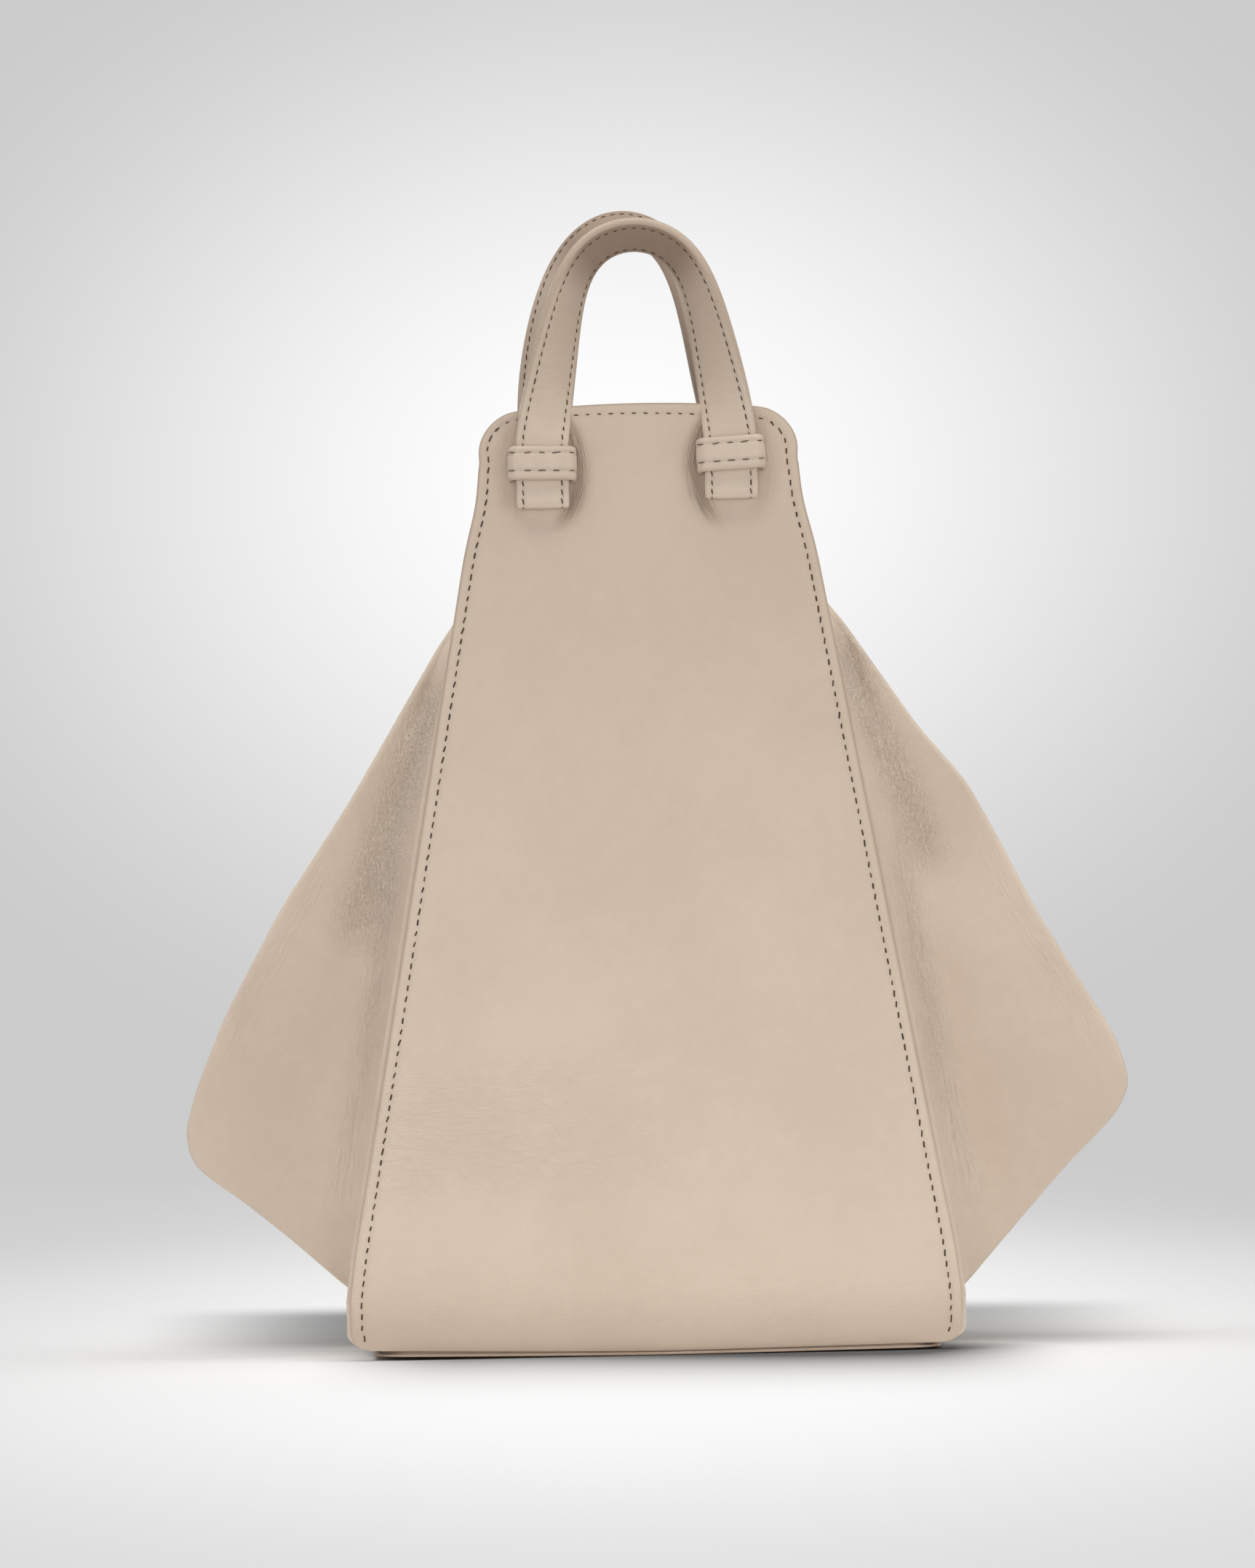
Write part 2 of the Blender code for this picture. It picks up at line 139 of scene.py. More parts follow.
def ramp(value, start, end, low=0.0, high=1.0):
    """A value eased from low to high as it goes from start to end."""
    run = {"Value": value, "From Min": start, "From Max": end, "To Min": low, "To Max": high}
    return node(value.id_data, "ShaderNodeMapRange", run, interpolation_type="SMOOTHSTEP")


def fade(value, start, end):
    """A value eased from 1 to 0 as it goes from start to end."""
    return ramp(value, start, end, 1.0, 0.0)


def clamped(value):
    """A value held between 0 and 1."""
    return node(value.id_data, "ShaderNodeClamp", {0: value})


def vector_maths(operation, first, second=(0, 0, 0)):
    """One step of arithmetic on vectors."""
    return node(first.id_data, "ShaderNodeVectorMath", {0: first, 1: second}, operation=operation)


def spread(vector, stretch):
    """A vector's length after each of its parts is multiplied."""
    return vector_maths("LENGTH", vector_maths("MULTIPLY", vector, stretch)).outputs["Value"]


def parts_of(vector):
    """A vector's X, Y and Z."""
    return node(vector.id_data, "ShaderNodeSeparateXYZ", {0: vector}).outputs


def emptied(owner):
    """The node tree of a new material or world, with nothing in it."""
    owner.use_nodes = True
    owner.node_tree.nodes.clear()
    return owner.node_tree


floor_mesh = bpy.data.meshes.new("floor")
turns = [math.tau * i / FLOOR_SIDES for i in range(FLOOR_SIDES)]
ring = [(FLOOR_REACH * math.cos(a), FLOOR_REACH * math.sin(a) - FLOOR_FORWARD, -FLOOR_BELOW) for a in turns]
floor_mesh.from_pydata(ring, [], [tuple(range(FLOOR_SIDES))])
floor = bpy.data.objects.new("floor", floor_mesh)
scene.collection.objects.link(floor)

table_top = bpy.data.materials.new("white_table_top")
tree = emptied(table_top)
place = node(tree, "ShaderNodeTexCoord").outputs["Object"]
at = parts_of(place)
from_middle = vector_maths("ADD", place, (0, FLOOR_FORWARD, 0))
before = vector_maths("MINIMUM", from_middle, (FLOOR_REACH, 0, 0))
bright = ramp(spread(before, (1, POOL_LONG, 0)), *FLOOR_POOL, FLOOR_MIDDLE, FLOOR_OUTSIDE)
tilted = maths("ADD", at["Y"], times(at["X"], SHADE_TILT))
along = maths("ABSOLUTE", maths("SUBTRACT", tilted, SHADE_BACK))
shade = times(fade(maths("ABSOLUTE", at["X"]), *SHADE_ASIDE), fade(along, *SHADE_ALONG),
              ramp(at["X"], -SHADE_ASIDE[0], SHADE_ASIDE[0], SHADE_LEFT, SHADE_RIGHT))
near = maths("DIVIDE", maths("ADD", at["Y"], BASE_DEPTH_HALF + CONTACT_RUN), CONTACT_RUN)
aside = maths("ABSOLUTE", maths("SUBTRACT", at["X"], CONTACT_SHIFT))
contact = times(maths("POWER", clamped(near), CONTACT_FALL), fade(aside, *CONTACT_ASIDE),
                ramp(at["X"], -CONTACT_ASIDE[0], CONTACT_ASIDE[0], CONTACT_LEFT, CONTACT_RIGHT))
contact = times(maths("MINIMUM", contact, CONTACT_DEEPEST), fade(at["Y"], *CONTACT_BACK))
shade = times(maths("MAXIMUM", shade, contact), node(tree, "ShaderNodeLightPath").outputs["Is Camera Ray"])
bright = times(bright, maths("SUBTRACT", 1.0, shade))
white = node(tree, "ShaderNodeCombineColor", {0: bright, 1: bright, 2: bright})
top = node(tree, "ShaderNodeBsdfDiffuse", {"Color": white})
gone = node(tree, "ShaderNodeBsdfTransparent")
away = ramp(spread(from_middle, (1, 1, 0)), *FLOOR_FADE)
faded = node(tree, "ShaderNodeMixShader", {0: away, 1: top, 2: gone})
node(tree, "ShaderNodeOutputMaterial", {"Surface": faded})
floor_mesh.materials.append(table_top)

studio = bpy.data.worlds.new("pale_studio")
scene.world = studio
tree = emptied(studio)
towards = parts_of(node(tree, "ShaderNodeTexCoord").outputs["Generated"])
ahead = maths("MAXIMUM", towards["Y"], LEAST_AHEAD)
above = maths("SUBTRACT", maths("DIVIDE", towards["Z"], ahead), GLOW_UP)
seen = node(tree, "ShaderNodeCombineXYZ", {0: maths("DIVIDE", towards["X"], ahead), 1: above})
glow = ramp(spread(seen, (1, GLOW_TALL, 1)), *GLOW_RUN, WALL_GLOW, WALL_GREY)
backdrop = node(tree, "ShaderNodeBackground", {"Color": WHITE, "Strength": glow})
light = node(tree, "ShaderNodeBackground", {"Color": WHITE, "Strength": STUDIO_LIGHT})
ray = node(tree, "ShaderNodeLightPath").outputs
mirrored = maths("MAXIMUM", ray["Is Glossy Ray"], ray["Is Transmission Ray"])
shown = maths("MAXIMUM", ray["Is Camera Ray"], mirrored)
mixed = node(tree, "ShaderNodeMixShader", {0: shown, 1: light, 2: backdrop})
node(tree, "ShaderNodeOutputWorld", {"Surface": mixed})

# Studio lamps. Large soft boxes: a broad one before the bag and one behind it, a stronger one
# at its right than at its left, and two high ones, which whiten the floor.
LAMPS = {
    "front": {"place": (0.0, -2.2, 0.35), "size": 1.2, "watts": 14.0},
    "right": {"place": (1.5, -1.0, 0.35), "size": 1.0, "watts": 5.6},
    "left": {"place": (-1.5, -1.0, 0.35), "size": 1.0, "watts": 3.0},
    "back": {"place": (-0.4, 2.2, 0.45), "size": 1.2, "watts": 11.0},
    "left_above": {"place": (-0.6, 0.0, 1.85), "size": 1.0, "watts": 15.0},
    "right_above": {"place": (0.6, 0.0, 1.85), "size": 1.0, "watts": 15.0},
}
LAMP_AIM = (0, 0, 0.18)

for word, lamp in LAMPS.items():
    box = bpy.data.lights.new(word, "AREA")
    box.size = lamp["size"]
    box.energy = lamp["watts"]
    carrier = bpy.data.objects.new(word, box)
    carrier.location = lamp["place"]
    carrier.rotation_euler = (Vector(LAMP_AIM) - carrier.location).to_track_quat("-Z", "Y").to_euler()
    carrier.visible_camera = False
    scene.collection.objects.link(carrier)

# Front and back walls. Each is one piece of firm smooth leather, cut to the bag's taper,
# with a painted raw edge and a row of stitches all round that closes it on to the gussets.
HEIGHT = 0.320
BASE_HALF = 0.1035
RIM_HALF = 0.0543
TAPER_FROM = 0.018
TAPER_BELOW_RIM = 0.017
NECK_DRAW = 0.0012
NECK_BELOW_RIM = 0.032
NECK_SPREAD = 0.012
RIM_CORNER = 0.0135
BASE_CORNER = 0.006
RIM_DEPTH_HALF = 0.020
BELLY = 1.25
PANEL_T = 0.002
WALL_FOOT = 0.0013         # the wall's lower edge, just over the base's lip
CORNER_FROM = WALL_FOOT    # height where the lower corners' rounding ends
LEFT_CURL = 0.0021         # the lower corners stand this much higher than the middle
RIGHT_CURL = 0.0011
CURL_POWER = 1.3
CURL_FADE = (0.060, 0.0)   # heights over which the corners' rise dies away
RIM_ARCH = 0.0015          # the rim's middle stands this much higher
RIM_ARCH_HALF = 0.036
RIM_ARCH_RISE = (0.285, 0.318)
CROWN_OUT = 0.0016         # the walls' crown, and the heights over which it starts and ends
CROWN_RUN = ((0.004, 0.11), (0.285, 0.20))
UNEVEN_OUT = 0.00022
UNEVEN_RUN = ((0.004, 0.04), (0.318, 0.27))
UNEVEN_WAVES = ((61, 38, 1, 1.0), (-47, 83, 2, 1.0), (118, -66, 3, 0.6))
FOOT_ROLLS = ((0.0009, 0.030, 2), (0.0013, 0.010, 2.5))    # depth, top and sharpness
FOOT_TUCK = 0.0010         # the walls draw in a little over the base
FOOT_TUCK_RUN = (0.040, 0.012)
SEAM_IN = 0.0035           # stitches from the wall's edge, at the middle of the rim
SEAM_SKEW = 0.0007         # nearer on the rim's left, farther on its right
SEAM_SKEW_RISE = (0.292, 0.318)
SEAM_FROM = 0.0034         # height where the row of stitches starts
RIM_ROW_DOWN = 0.0055      # the rim's own row reaches this far down
THREAD_OUT = 0.00012       # threads lie this far out of their groove
STITCH_TILT = math.radians(9.0)
SEAM_DEEP = 0.00022
SEAM_WIDE = 0.0007
EDGE_SOFT = 0.0006
EDGE_DROP = 0.0004
KEEPERS = {                # their middles and how far they are turned, seen from outside
    "left": {"x": -0.0327, "z": 0.3006, "turn": math.radians(-1.0)},
    "right": {"x": 0.0314, "z": 0.3027, "turn": math.radians(3.0)},
}
PULL_DEEP = 0.0012         # the leather is drawn in beside the keepers, along bowed lines
PULL_ASIDE = 0.0126
PULL_WIDE = 0.0030
PULL_BOW = 0.0048
PULL_Z = 0.2985
PULL_TALL = 0.0165
PULL_ENDS = (0.022, 0.012)
PULL_OUTER = 0.5           # share of it on the side away from the bag's middle
PULL_LINE = (0.0124, 0.0025)       # middle and width of its crease, and then of its shade
PULL_SHADE = (0.0112, 0.0026)
PULL_LINE_ENDS = (0.021, 0.012)
PULL_LINE_OUTER = 0.22
SEAM_SHADE = 0.0011
EDGE_SHADE = 0.0005
EDGE_SHADE_RUN = (0.02, 0.10)
FOOT_CREASED = ((0.036, 0.018), (0.004, 0.010))
FOOT_SHADE = (0.024, 0.003)
# where the walls' edge paint darkens at the foot, as painted shade over the base
FOOT_PAINT = (0.010, 0.004)
FOOT_PAINT_HALF = (0.101, 0.094)
UPPER_SHADE = (0.05, 0.31)
WORN = ((0.112, 0.09), (0.045, 0.065))
WORN_ASIDE = (0.05, -0.06)
WALL_ROWS = ((WALL_FOOT, 0.0007), (0.010, 0.0010), (0.036, 0.0018), (0.270, 0.0011))
CORNER_TURNS = (*np.linspace(0, 80, 24), 90)
WALL_COLUMNS = 63
OUTLINE_STEP = 0.0006
OUTLINE_STEPS = (40, 120)  # round a corner and along the rim
LINE_STEPS = 8             # the fewest steps of a resampled line
SEARCH_STEP = 0.00008
PANEL_STITCH = {"pitch": 0.00370, "length": 0.0026, "thick": 0.00054, "slant": -6}
RIM_STITCH = {"pitch": 0.00383, "length": 0.0017, "thick": 0.00038, "slant": -3}
LEATHER_LIGHT = (0.672, 0.550, 0.438, 1)
LEATHER_DARK = (0.640, 0.520, 0.412, 1)
# grain valleys and creases darken towards this colour, and so does the shade painted into the leathers
LEATHER_CREASE_AND_SHADE = (0.290, 0.205, 0.145, 1)
EDGE_PAINT = (0.420, 0.310, 0.225, 1)
FOOT_EDGE_PAINT_AND_SHADE = (0.160, 0.080, 0.045, 1)
THREAD_DARK = (0.032, 0.018, 0.010, 1)
THREAD_LIGHT = (0.110, 0.068, 0.042, 1)
PATCH_TONE = (0.36, 0.64)  # the dye's patches go from dark to light over this
PATCH_ROUGH = (0.3, 0.7)   # and from rough to smooth over this
PATCH_BROAD = 0.68         # share of the broad patches in them
BROAD_NOISE = {"Scale": 17.0, "Detail": 2.0}
FINE_NOISE = {"Scale": 190.0, "Detail": 4.0}
GRAIN_NOISE = {"Scale": 260.0, "Detail": 2.0}
GRAIN_SOFT = 0.25
GRAIN_PUSH = 0.0012        # how far the grain's cells are pushed out of shape
CREASE_NOISE = {"Scale": 1.0, "Detail": 2.5, "Distortion": 0.6}
PEBBLE_RUN = (0.02, 0.66)
NOISE_MIDDLE = 0.5         # creases run where their noise has this value
CREASE_HALF = 0.115
LEATHER_SHINE = {"Specular IOR Level": 0.34, "Sheen Weight": 0.06, "Sheen Roughness": 0.4}
EDGE_PAINT_DARK = 0.78
PAINT_ROUGH = (0.36, 0.52)
THREAD_ROUGH = (0.5, 0.75)
NAP_ROUGH = (0.95, 0.82)
PLY_DARK = 0.4
STITCH_DIP = 7.0           # a stitch's ends dip into the leather by its length's cube times this
STITCH_LEAST = (0.72, 0.85, 0.8)
STITCH_MOST = (1.12, 1.15, 1.1)


def corner_cut(rise, radius):
    """How far a rounded corner draws an edge in, at a rise above the corner's middle."""
    rise = np.clip(rise, 0, radius)
    return radius - np.sqrt(radius ** 2 - rise ** 2)


def ease(value, start, end):
    """0 before start, 1 after end, and smooth between."""
    t = np.clip((np.asarray(value, float) - start) / (end - start), 0, 1)
    return t * t * (3 - 2 * t)


def within(value, *runs):
    """The product of several eases of a value, each given by its start and end."""
    return np.prod([ease(value, *run) for run in runs], axis=0)


def bell(value, middle, width):
    """1 at the middle, and falling off on both sides of it over the width."""
    return np.exp(-((value - middle) / width) ** 2)


def half_width(z):
    """Half width of the front and back walls at a height."""
    z = np.asarray(z, float)
    run = np.clip((z - TAPER_FROM) / (HEIGHT - TAPER_BELOW_RIM - TAPER_FROM), 0, 1)
    width = BASE_HALF + (RIM_HALF - BASE_HALF) * run
    width = width - NECK_DRAW * bell(z, HEIGHT - NECK_BELOW_RIM, NECK_SPREAD)
    width = width - corner_cut(z - HEIGHT + RIM_CORNER, RIM_CORNER) - FOOT_TUCK * ease(z, *FOOT_TUCK_RUN)
    return width - corner_cut(CORNER_FROM + BASE_CORNER - z, BASE_CORNER)


def half_depth(z):
    """Distance of the walls' outer faces from the bag's middle plane at a height."""
    z = np.clip(z, 0, None)
    return BASE_DEPTH_HALF - (BASE_DEPTH_HALF - RIM_DEPTH_HALF) * (z / HEIGHT) ** BELLY


def lean(z):
    """Angle by which the walls lean in at a height."""
    slope = (BASE_DEPTH_HALF - RIM_DEPTH_HALF) * BELLY / HEIGHT
    return np.arctan(slope * (np.clip(z, 0, None) / HEIGHT) ** (BELLY - 1))


def foot_curl(x):
    """How far the base and the walls' feet stand off the floor."""
    return np.where(x < 0, LEFT_CURL, RIGHT_CURL) * (np.abs(x) / BASE_HALF) ** CURL_POWER


def from_keeper(x):
    """Distance from the nearer keeper's middle, below 0 on the side of the bag's middle."""
    return np.where(x < 0, KEEPERS["left"]["x"] - x, x - KEEPERS["right"]["x"])


def pull_line(x, z):
    """Distance from a keeper's middle to the bowed line that a point beside it lies on."""
    return np.abs(from_keeper(x)) + PULL_BOW * ((z - PULL_Z) / PULL_TALL) ** 2


def swell(x, z, phase):
    """The wall's soft form: crowned, a little uneven, rolled under at the foot, drawn in at the keepers."""
    x, z = np.asarray(x, float), np.asarray(z, float)
    crown = CROWN_OUT * (1 - (x / half_width(z)) ** 2) * within(z, *CROWN_RUN)
    waves = sum(share * np.sin(a * x + b * z + turn * phase) for a, b, turn, share in UNEVEN_WAVES)
    uneven = UNEVEN_OUT * waves * within(z, *UNEVEN_RUN)
    roll = sum(deep * np.clip(1 - z / top, 0, 1) ** sharp for deep, top, sharp in FOOT_ROLLS)
    hollow = np.where(from_keeper(x) < 0, 1.0, PULL_OUTER) * bell(pull_line(x, z), PULL_ASIDE, PULL_WIDE)
    return crown + uneven - roll - PULL_DEEP * hollow * ease(np.abs(z - PULL_Z), *PULL_ENDS)


def on_wall(x, z, out, phase):
    """Points on the front wall's outer face, or at a distance outside it."""
    x, z, out = np.broadcast_arrays(np.asarray(x, float), z, out)
    out = out + swell(x, z, phase)
    curl = foot_curl(x) * ease(z, *CURL_FADE)
    curl = curl + RIM_ARCH * (1 - (x / RIM_ARCH_HALF) ** 2) * ease(z, *RIM_ARCH_RISE)
    slope = lean(z)
    return np.stack([x, -half_depth(z) - out * np.cos(slope), z + out * np.sin(slope) + curl], -1)


def outwards(x, z):
    """Directions straight out of the front wall."""
    slope = lean(np.asarray(z, float))
    return np.stack([0 * slope, -np.cos(slope), np.sin(slope)], -1)


def turned_round(points, side):
    """The same points for the back of the bag when side is 1."""
    return points * np.array([-side, -side, 1.0]) if side > 0 else points


def evenly(low, high, step):
    """Values from low up to, and not with, high, about a step apart."""
    return np.linspace(low, high, max(round((high - low) / step), 1), endpoint=False)


def graded(marks, top):
    """Heights up to, and not with, the top; each mark is a height and the step above it."""
    ends = [height for height, _ in marks[1:]] + [top]
    return np.concatenate([evenly(low, high, step) for (low, step), high in zip(marks, ends)])


def outline(inset):
    """The wall's edge from the lower right over the rim to the lower left, moved inwards."""
    up = evenly(SEAM_FROM, HEIGHT - RIM_CORNER, OUTLINE_STEP)
    turn = np.linspace(0, math.pi / 2, OUTLINE_STEPS[0])
    corner_x = RIM_HALF - RIM_CORNER
    right = np.concatenate([
        np.stack([half_width(up), up], -1),
        np.stack([corner_x + RIM_CORNER * np.cos(turn), HEIGHT - RIM_CORNER * (1 - np.sin(turn))], -1)])
    top_x = np.linspace(corner_x, -corner_x, OUTLINE_STEPS[1])[1:-1]
    top = np.stack([top_x, np.full_like(top_x, HEIGHT)], -1)
    line = np.concatenate([right, top, right[::-1] * [-1, 1]])
    run = unit(np.gradient(line, axis=0))
    inward = np.stack([-run[:, 1], run[:, 0]], -1)
    skew = SEAM_SKEW / SEAM_IN * line[:, :1] / RIM_HALF * ease(line[:, 1:], *SEAM_SKEW_RISE)
    return line + inward * inset * (1 + skew)


def unit(rows):
    """Rows of vectors, each made one long."""
    return rows / np.linalg.norm(rows, axis=1, keepdims=True)


def resampled(points, step):
    """The same line with points a step apart in space; what else its rows hold goes along."""
    length = np.linalg.norm(np.diff(points[:, :3], axis=0), axis=1)
    length = np.concatenate([[0], np.cumsum(length)])
    even = np.linspace(0, length[-1], max(round(length[-1] / step), LINE_STEPS) + 1)
    return np.stack([np.interp(even, length, column) for column in points.T], -1), even


def distance_to(line, x, z):
    """Distance of each point of a grid from a line, both in the wall's own plane."""
    line = resampled(line, SEARCH_STEP)[0]
    near = KDTree(len(line))
    for index, (a, b) in enumerate(line):
        near.insert((a, b, 0), index)
    near.balance()
    found = [near.find((a, b, 0))[2] for a, b in zip(np.ravel(x), np.ravel(z))]
    return np.array(found).reshape(np.shape(x))


def skin(name, grid, materials, masks=None, side=-1, closed=False):
    """A piece with a mesh through a grid of points, turned round for the back when side is 1; closed
    joins its last column to its first."""
    rows, columns = grid.shape[:2]
    at = np.arange(rows * columns).reshape(rows, columns)
    beside = np.roll(at, -1, 1) if closed else at[:, 1:]
    at = at if closed else at[:, :-1]
    quads = np.stack([at[:-1], beside[:-1], beside[1:], at[1:]], -1).reshape(-1, 4).tolist()
    if closed:
        quads += [tuple(reversed(range(columns))), tuple(range((rows - 1) * columns, rows * columns))]
    mesh = bpy.data.meshes.new(name)
    mesh.from_pydata(turned_round(grid, side).reshape(-1, 3).tolist(), [], quads)
    for mask, values in (masks or {}).items():
        kind, field = ("FLOAT_VECTOR", "vector") if np.ndim(values) == 3 else ("FLOAT", "value")
        held = mesh.attributes.new(mask, kind, "POINT")
        held.data.foreach_set(field, np.ravel(values).astype(np.float32))
    for material in materials:
        mesh.materials.append(material)
    piece = bpy.data.objects.new(name, mesh)
    scene.collection.objects.link(piece)
    return piece


def settle(piece, sharp=50):
    """Turn a piece's modifiers into plain mesh, smooth but for its sharp edges."""
    ready = piece.evaluated_get(bpy.context.evaluated_depsgraph_get())
    mesh = bpy.data.meshes.new_from_object(ready)
    piece.modifiers.clear()
    piece.data = mesh
    mesh.shade_smooth()
    mesh.set_sharp_from_angle(angle=math.radians(sharp))
    return piece


def thicken(piece, thickness, rim_material=0, offset=-1):
    """Give an open skin its thickness."""
    wall = piece.modifiers.new("Thickness", "SOLIDIFY")
    wall.thickness = thickness
    wall.offset = offset
    wall.use_even_offset = False
    wall.material_offset_rim = rim_material
    return settle(piece)


def node_group(kind, name, inputs, outputs):
    """A node group with named inputs, given as (name, kind of socket, value), and outputs."""
    made = bpy.data.node_groups.new(name, kind)
    for title, socket, value in inputs:
        given = made.interface.new_socket(title, in_out="INPUT", socket_type=socket)
        if value is not None:
            given.default_value = value
    for title, socket in outputs:
        made.interface.new_socket(title, in_out="OUTPUT", socket_type=socket)
    return made, made.nodes.new("NodeGroupInput").outputs, made.nodes.new("NodeGroupOutput").inputs


FLOAT, VECTOR, COLOUR = "NodeSocketFloat", "NodeSocketVector", "NodeSocketColor"


def mix(factor, first, second):
    """A colour between two."""
    made = node(factor.id_data, "ShaderNodeMix", {0: factor, 6: first, 7: second}, data_type="RGBA")
    return made.outputs[2]


# The dye's uneven patches, mixed by Depth towards the Crease colour; in the leathers that depth also carries
# painted shade.
uneven_dye_and_shade, given, result = node_group(
    "ShaderNodeTree", "Uneven dye and shade",
    [("Place", VECTOR, None), ("Light", COLOUR, None), ("Dark", COLOUR, None), ("Crease", COLOUR, None),
     ("Depth", FLOAT, 0.0)],
    [("Colour", COLOUR), ("Patch", FLOAT)])
broad = node(uneven_dye_and_shade, "ShaderNodeTexNoise", {"Vector": given["Place"], **BROAD_NOISE})
fine = node(uneven_dye_and_shade, "ShaderNodeTexNoise", {"Vector": given["Place"], **FINE_NOISE})
patch = maths("ADD", times(broad, PATCH_BROAD), times(fine, 1 - PATCH_BROAD))
tone = mix(ramp(patch, *PATCH_TONE), given["Dark"], given["Light"])
give(uneven_dye_and_shade, result, {"Colour": mix(given["Depth"], tone, given["Crease"]), "Patch": patch})

leather_grain, given, result = node_group(
    "ShaderNodeTree", "Leather grain",
    [("Place", VECTOR, None), ("Cells", FLOAT, 900.0), ("Mask", FLOAT, 1.0), ("Rise", FLOAT, 0.00002)],
    [("Height", FLOAT), ("Valley", FLOAT)])
bend = node(leather_grain, "ShaderNodeTexNoise", {"Vector": given["Place"], **GRAIN_NOISE})
push = node(leather_grain, "ShaderNodeVectorMath", {0: bend.outputs["Color"], 3: GRAIN_PUSH},
            operation="SCALE")
cells = node(leather_grain, "ShaderNodeTexVoronoi", {
    "Vector": vector_maths("ADD", given["Place"], push), "Scale": given["Cells"], "Smoothness": GRAIN_SOFT},
    feature="SMOOTH_F1")
pebble = fade(cells.outputs["Distance"], *PEBBLE_RUN)
give(leather_grain, result, {"Height": times(pebble, given["Rise"], given["Mask"]),
                             "Valley": times(maths("SUBTRACT", 1.0, pebble), given["Mask"])})

crease_lines, given, result = node_group(
    "ShaderNodeTree", "Crease lines",
    [("Place", VECTOR, None), ("Stretch", VECTOR, None), ("Mask", FLOAT, 1.0), ("Deep", FLOAT, 0.0001)],
    [("Height", FLOAT), ("Line", FLOAT)])
drawn = vector_maths("MULTIPLY", given["Place"], given["Stretch"])
waves = node(crease_lines, "ShaderNodeTexNoise", {"Vector": drawn, **CREASE_NOISE})
off_line = maths("ABSOLUTE", maths("SUBTRACT", waves, NOISE_MIDDLE))
line = times(fade(off_line, 0.0, CREASE_HALF), given["Mask"])
give(crease_lines, result, {"Line": line, "Height": times(line, given["Deep"], -1.0)})


def attribute(tree, name, kind="Fac"):
    """A mask, or with the kind Vector coordinates, stored in the mesh."""
    return node(tree, "ShaderNodeAttribute", attribute_name=name).outputs[kind]


def grouped(tree, group, **values):
    """Place a node group in a material, with values or links for its inputs."""
    return node(tree, "ShaderNodeGroup", values, node_tree=group).outputs


def new_material(name):
    """A new material, its node tree, and the place on the piece."""
    material = bpy.data.materials.new(name)
    material.use_nodes = True
    tree = material.node_tree
    return material, tree, node(tree, "ShaderNodeTexCoord").outputs["Object"]


def surfaced(material, colour, height, rough, constants=None):
    """Give a material's surface its colour, relief and roughness, and its constants."""
    tree = material.node_tree
    bump = node(tree, "ShaderNodeBump", {"Strength": 1.0, "Distance": 1.0, "Height": height})
    give(tree, tree.nodes["Principled BSDF"].inputs,
         {"Base Color": colour, "Roughness": rough, "Normal": bump, **(constants or {})})
    return material


def leather(name, light, dark, grains, creases, shade=None, rough=(0.60, 0.46)):
    """Dyed leather. Grains are (mask, cells per metre, rise, darkening of their valleys, partly the grain's
    own tone and partly painted shade); creases are (mask, stretch, depth, darkening that paints shade along
    them) and, where they bend, the stored coordinates that they run along; shade has masks where shade is
    painted into the dye's colour."""
    material, tree, place = new_material(name)
    height, depth = 0.0, 0.0
    for mask, cells, rise, darken in grains:
        made = grouped(tree, leather_grain, Place=place, Cells=cells, Rise=rise,
                       Mask=attribute(tree, mask) if mask else 1.0)
        height = maths("ADD", made["Height"], height)
        depth = maths("ADD", times(made["Valley"], darken), depth)
    for mask, stretch, deep, darken, *bent in creases:
        run = attribute(tree, bent[0], "Vector") if bent else place
        made = grouped(tree, crease_lines, Place=run, Stretch=stretch, Deep=deep, Mask=attribute(tree, mask))
        height = maths("ADD", made["Height"], height)
        depth = maths("ADD", times(made["Line"], darken), depth)
    for mask, darken in (shade or {}).items():
        depth = maths("ADD", times(attribute(tree, mask), darken), depth)
    dye = grouped(tree, uneven_dye_and_shade, Place=place, Light=light, Dark=dark, Crease=LEATHER_CREASE_AND_SHADE,
                  Depth=clamped(depth))
    return surfaced(material, dye["Colour"], height, ramp(dye["Patch"], *PATCH_ROUGH, *rough), LEATHER_SHINE)


def edge_paint(name, high, low=None, mask=None):
    """Burnished edge paint, darker where a mask is stored; on the walls that is their foot, where the
    darkening is painted shade.
    """
    material, tree, place = new_material(name)
    dark = tuple(EDGE_PAINT_DARK * v for v in high[:3]) + (1,)
    dye = grouped(tree, uneven_dye_and_shade, Place=place, Light=high, Dark=dark, Crease=low or high,
                  Depth=attribute(tree, mask) if mask else 0.0)
    grain = grouped(tree, leather_grain, Place=place, Cells=2600.0, Rise=0.00002)
    return surfaced(material, dye["Colour"], grain["Height"], ramp(dye["Patch"], *PATCH_ROUGH, *PAINT_ROUGH))


def thread(name, dark, light):
    """Waxed sewing thread, each stitch of its own tone."""
    material, tree, place = new_material(name)
    ply = grouped(tree, leather_grain, Place=place, Cells=5200.0, Rise=0.00005)
    worn = mix(times(ply["Valley"], PLY_DARK), mix(attribute(tree, "tone"), dark, light), dark)
    return surfaced(material, worn, ply["Height"], ramp(ply["Valley"], 0.0, 1.0, *THREAD_ROUGH),
                    {"Specular IOR Level": 0.25})


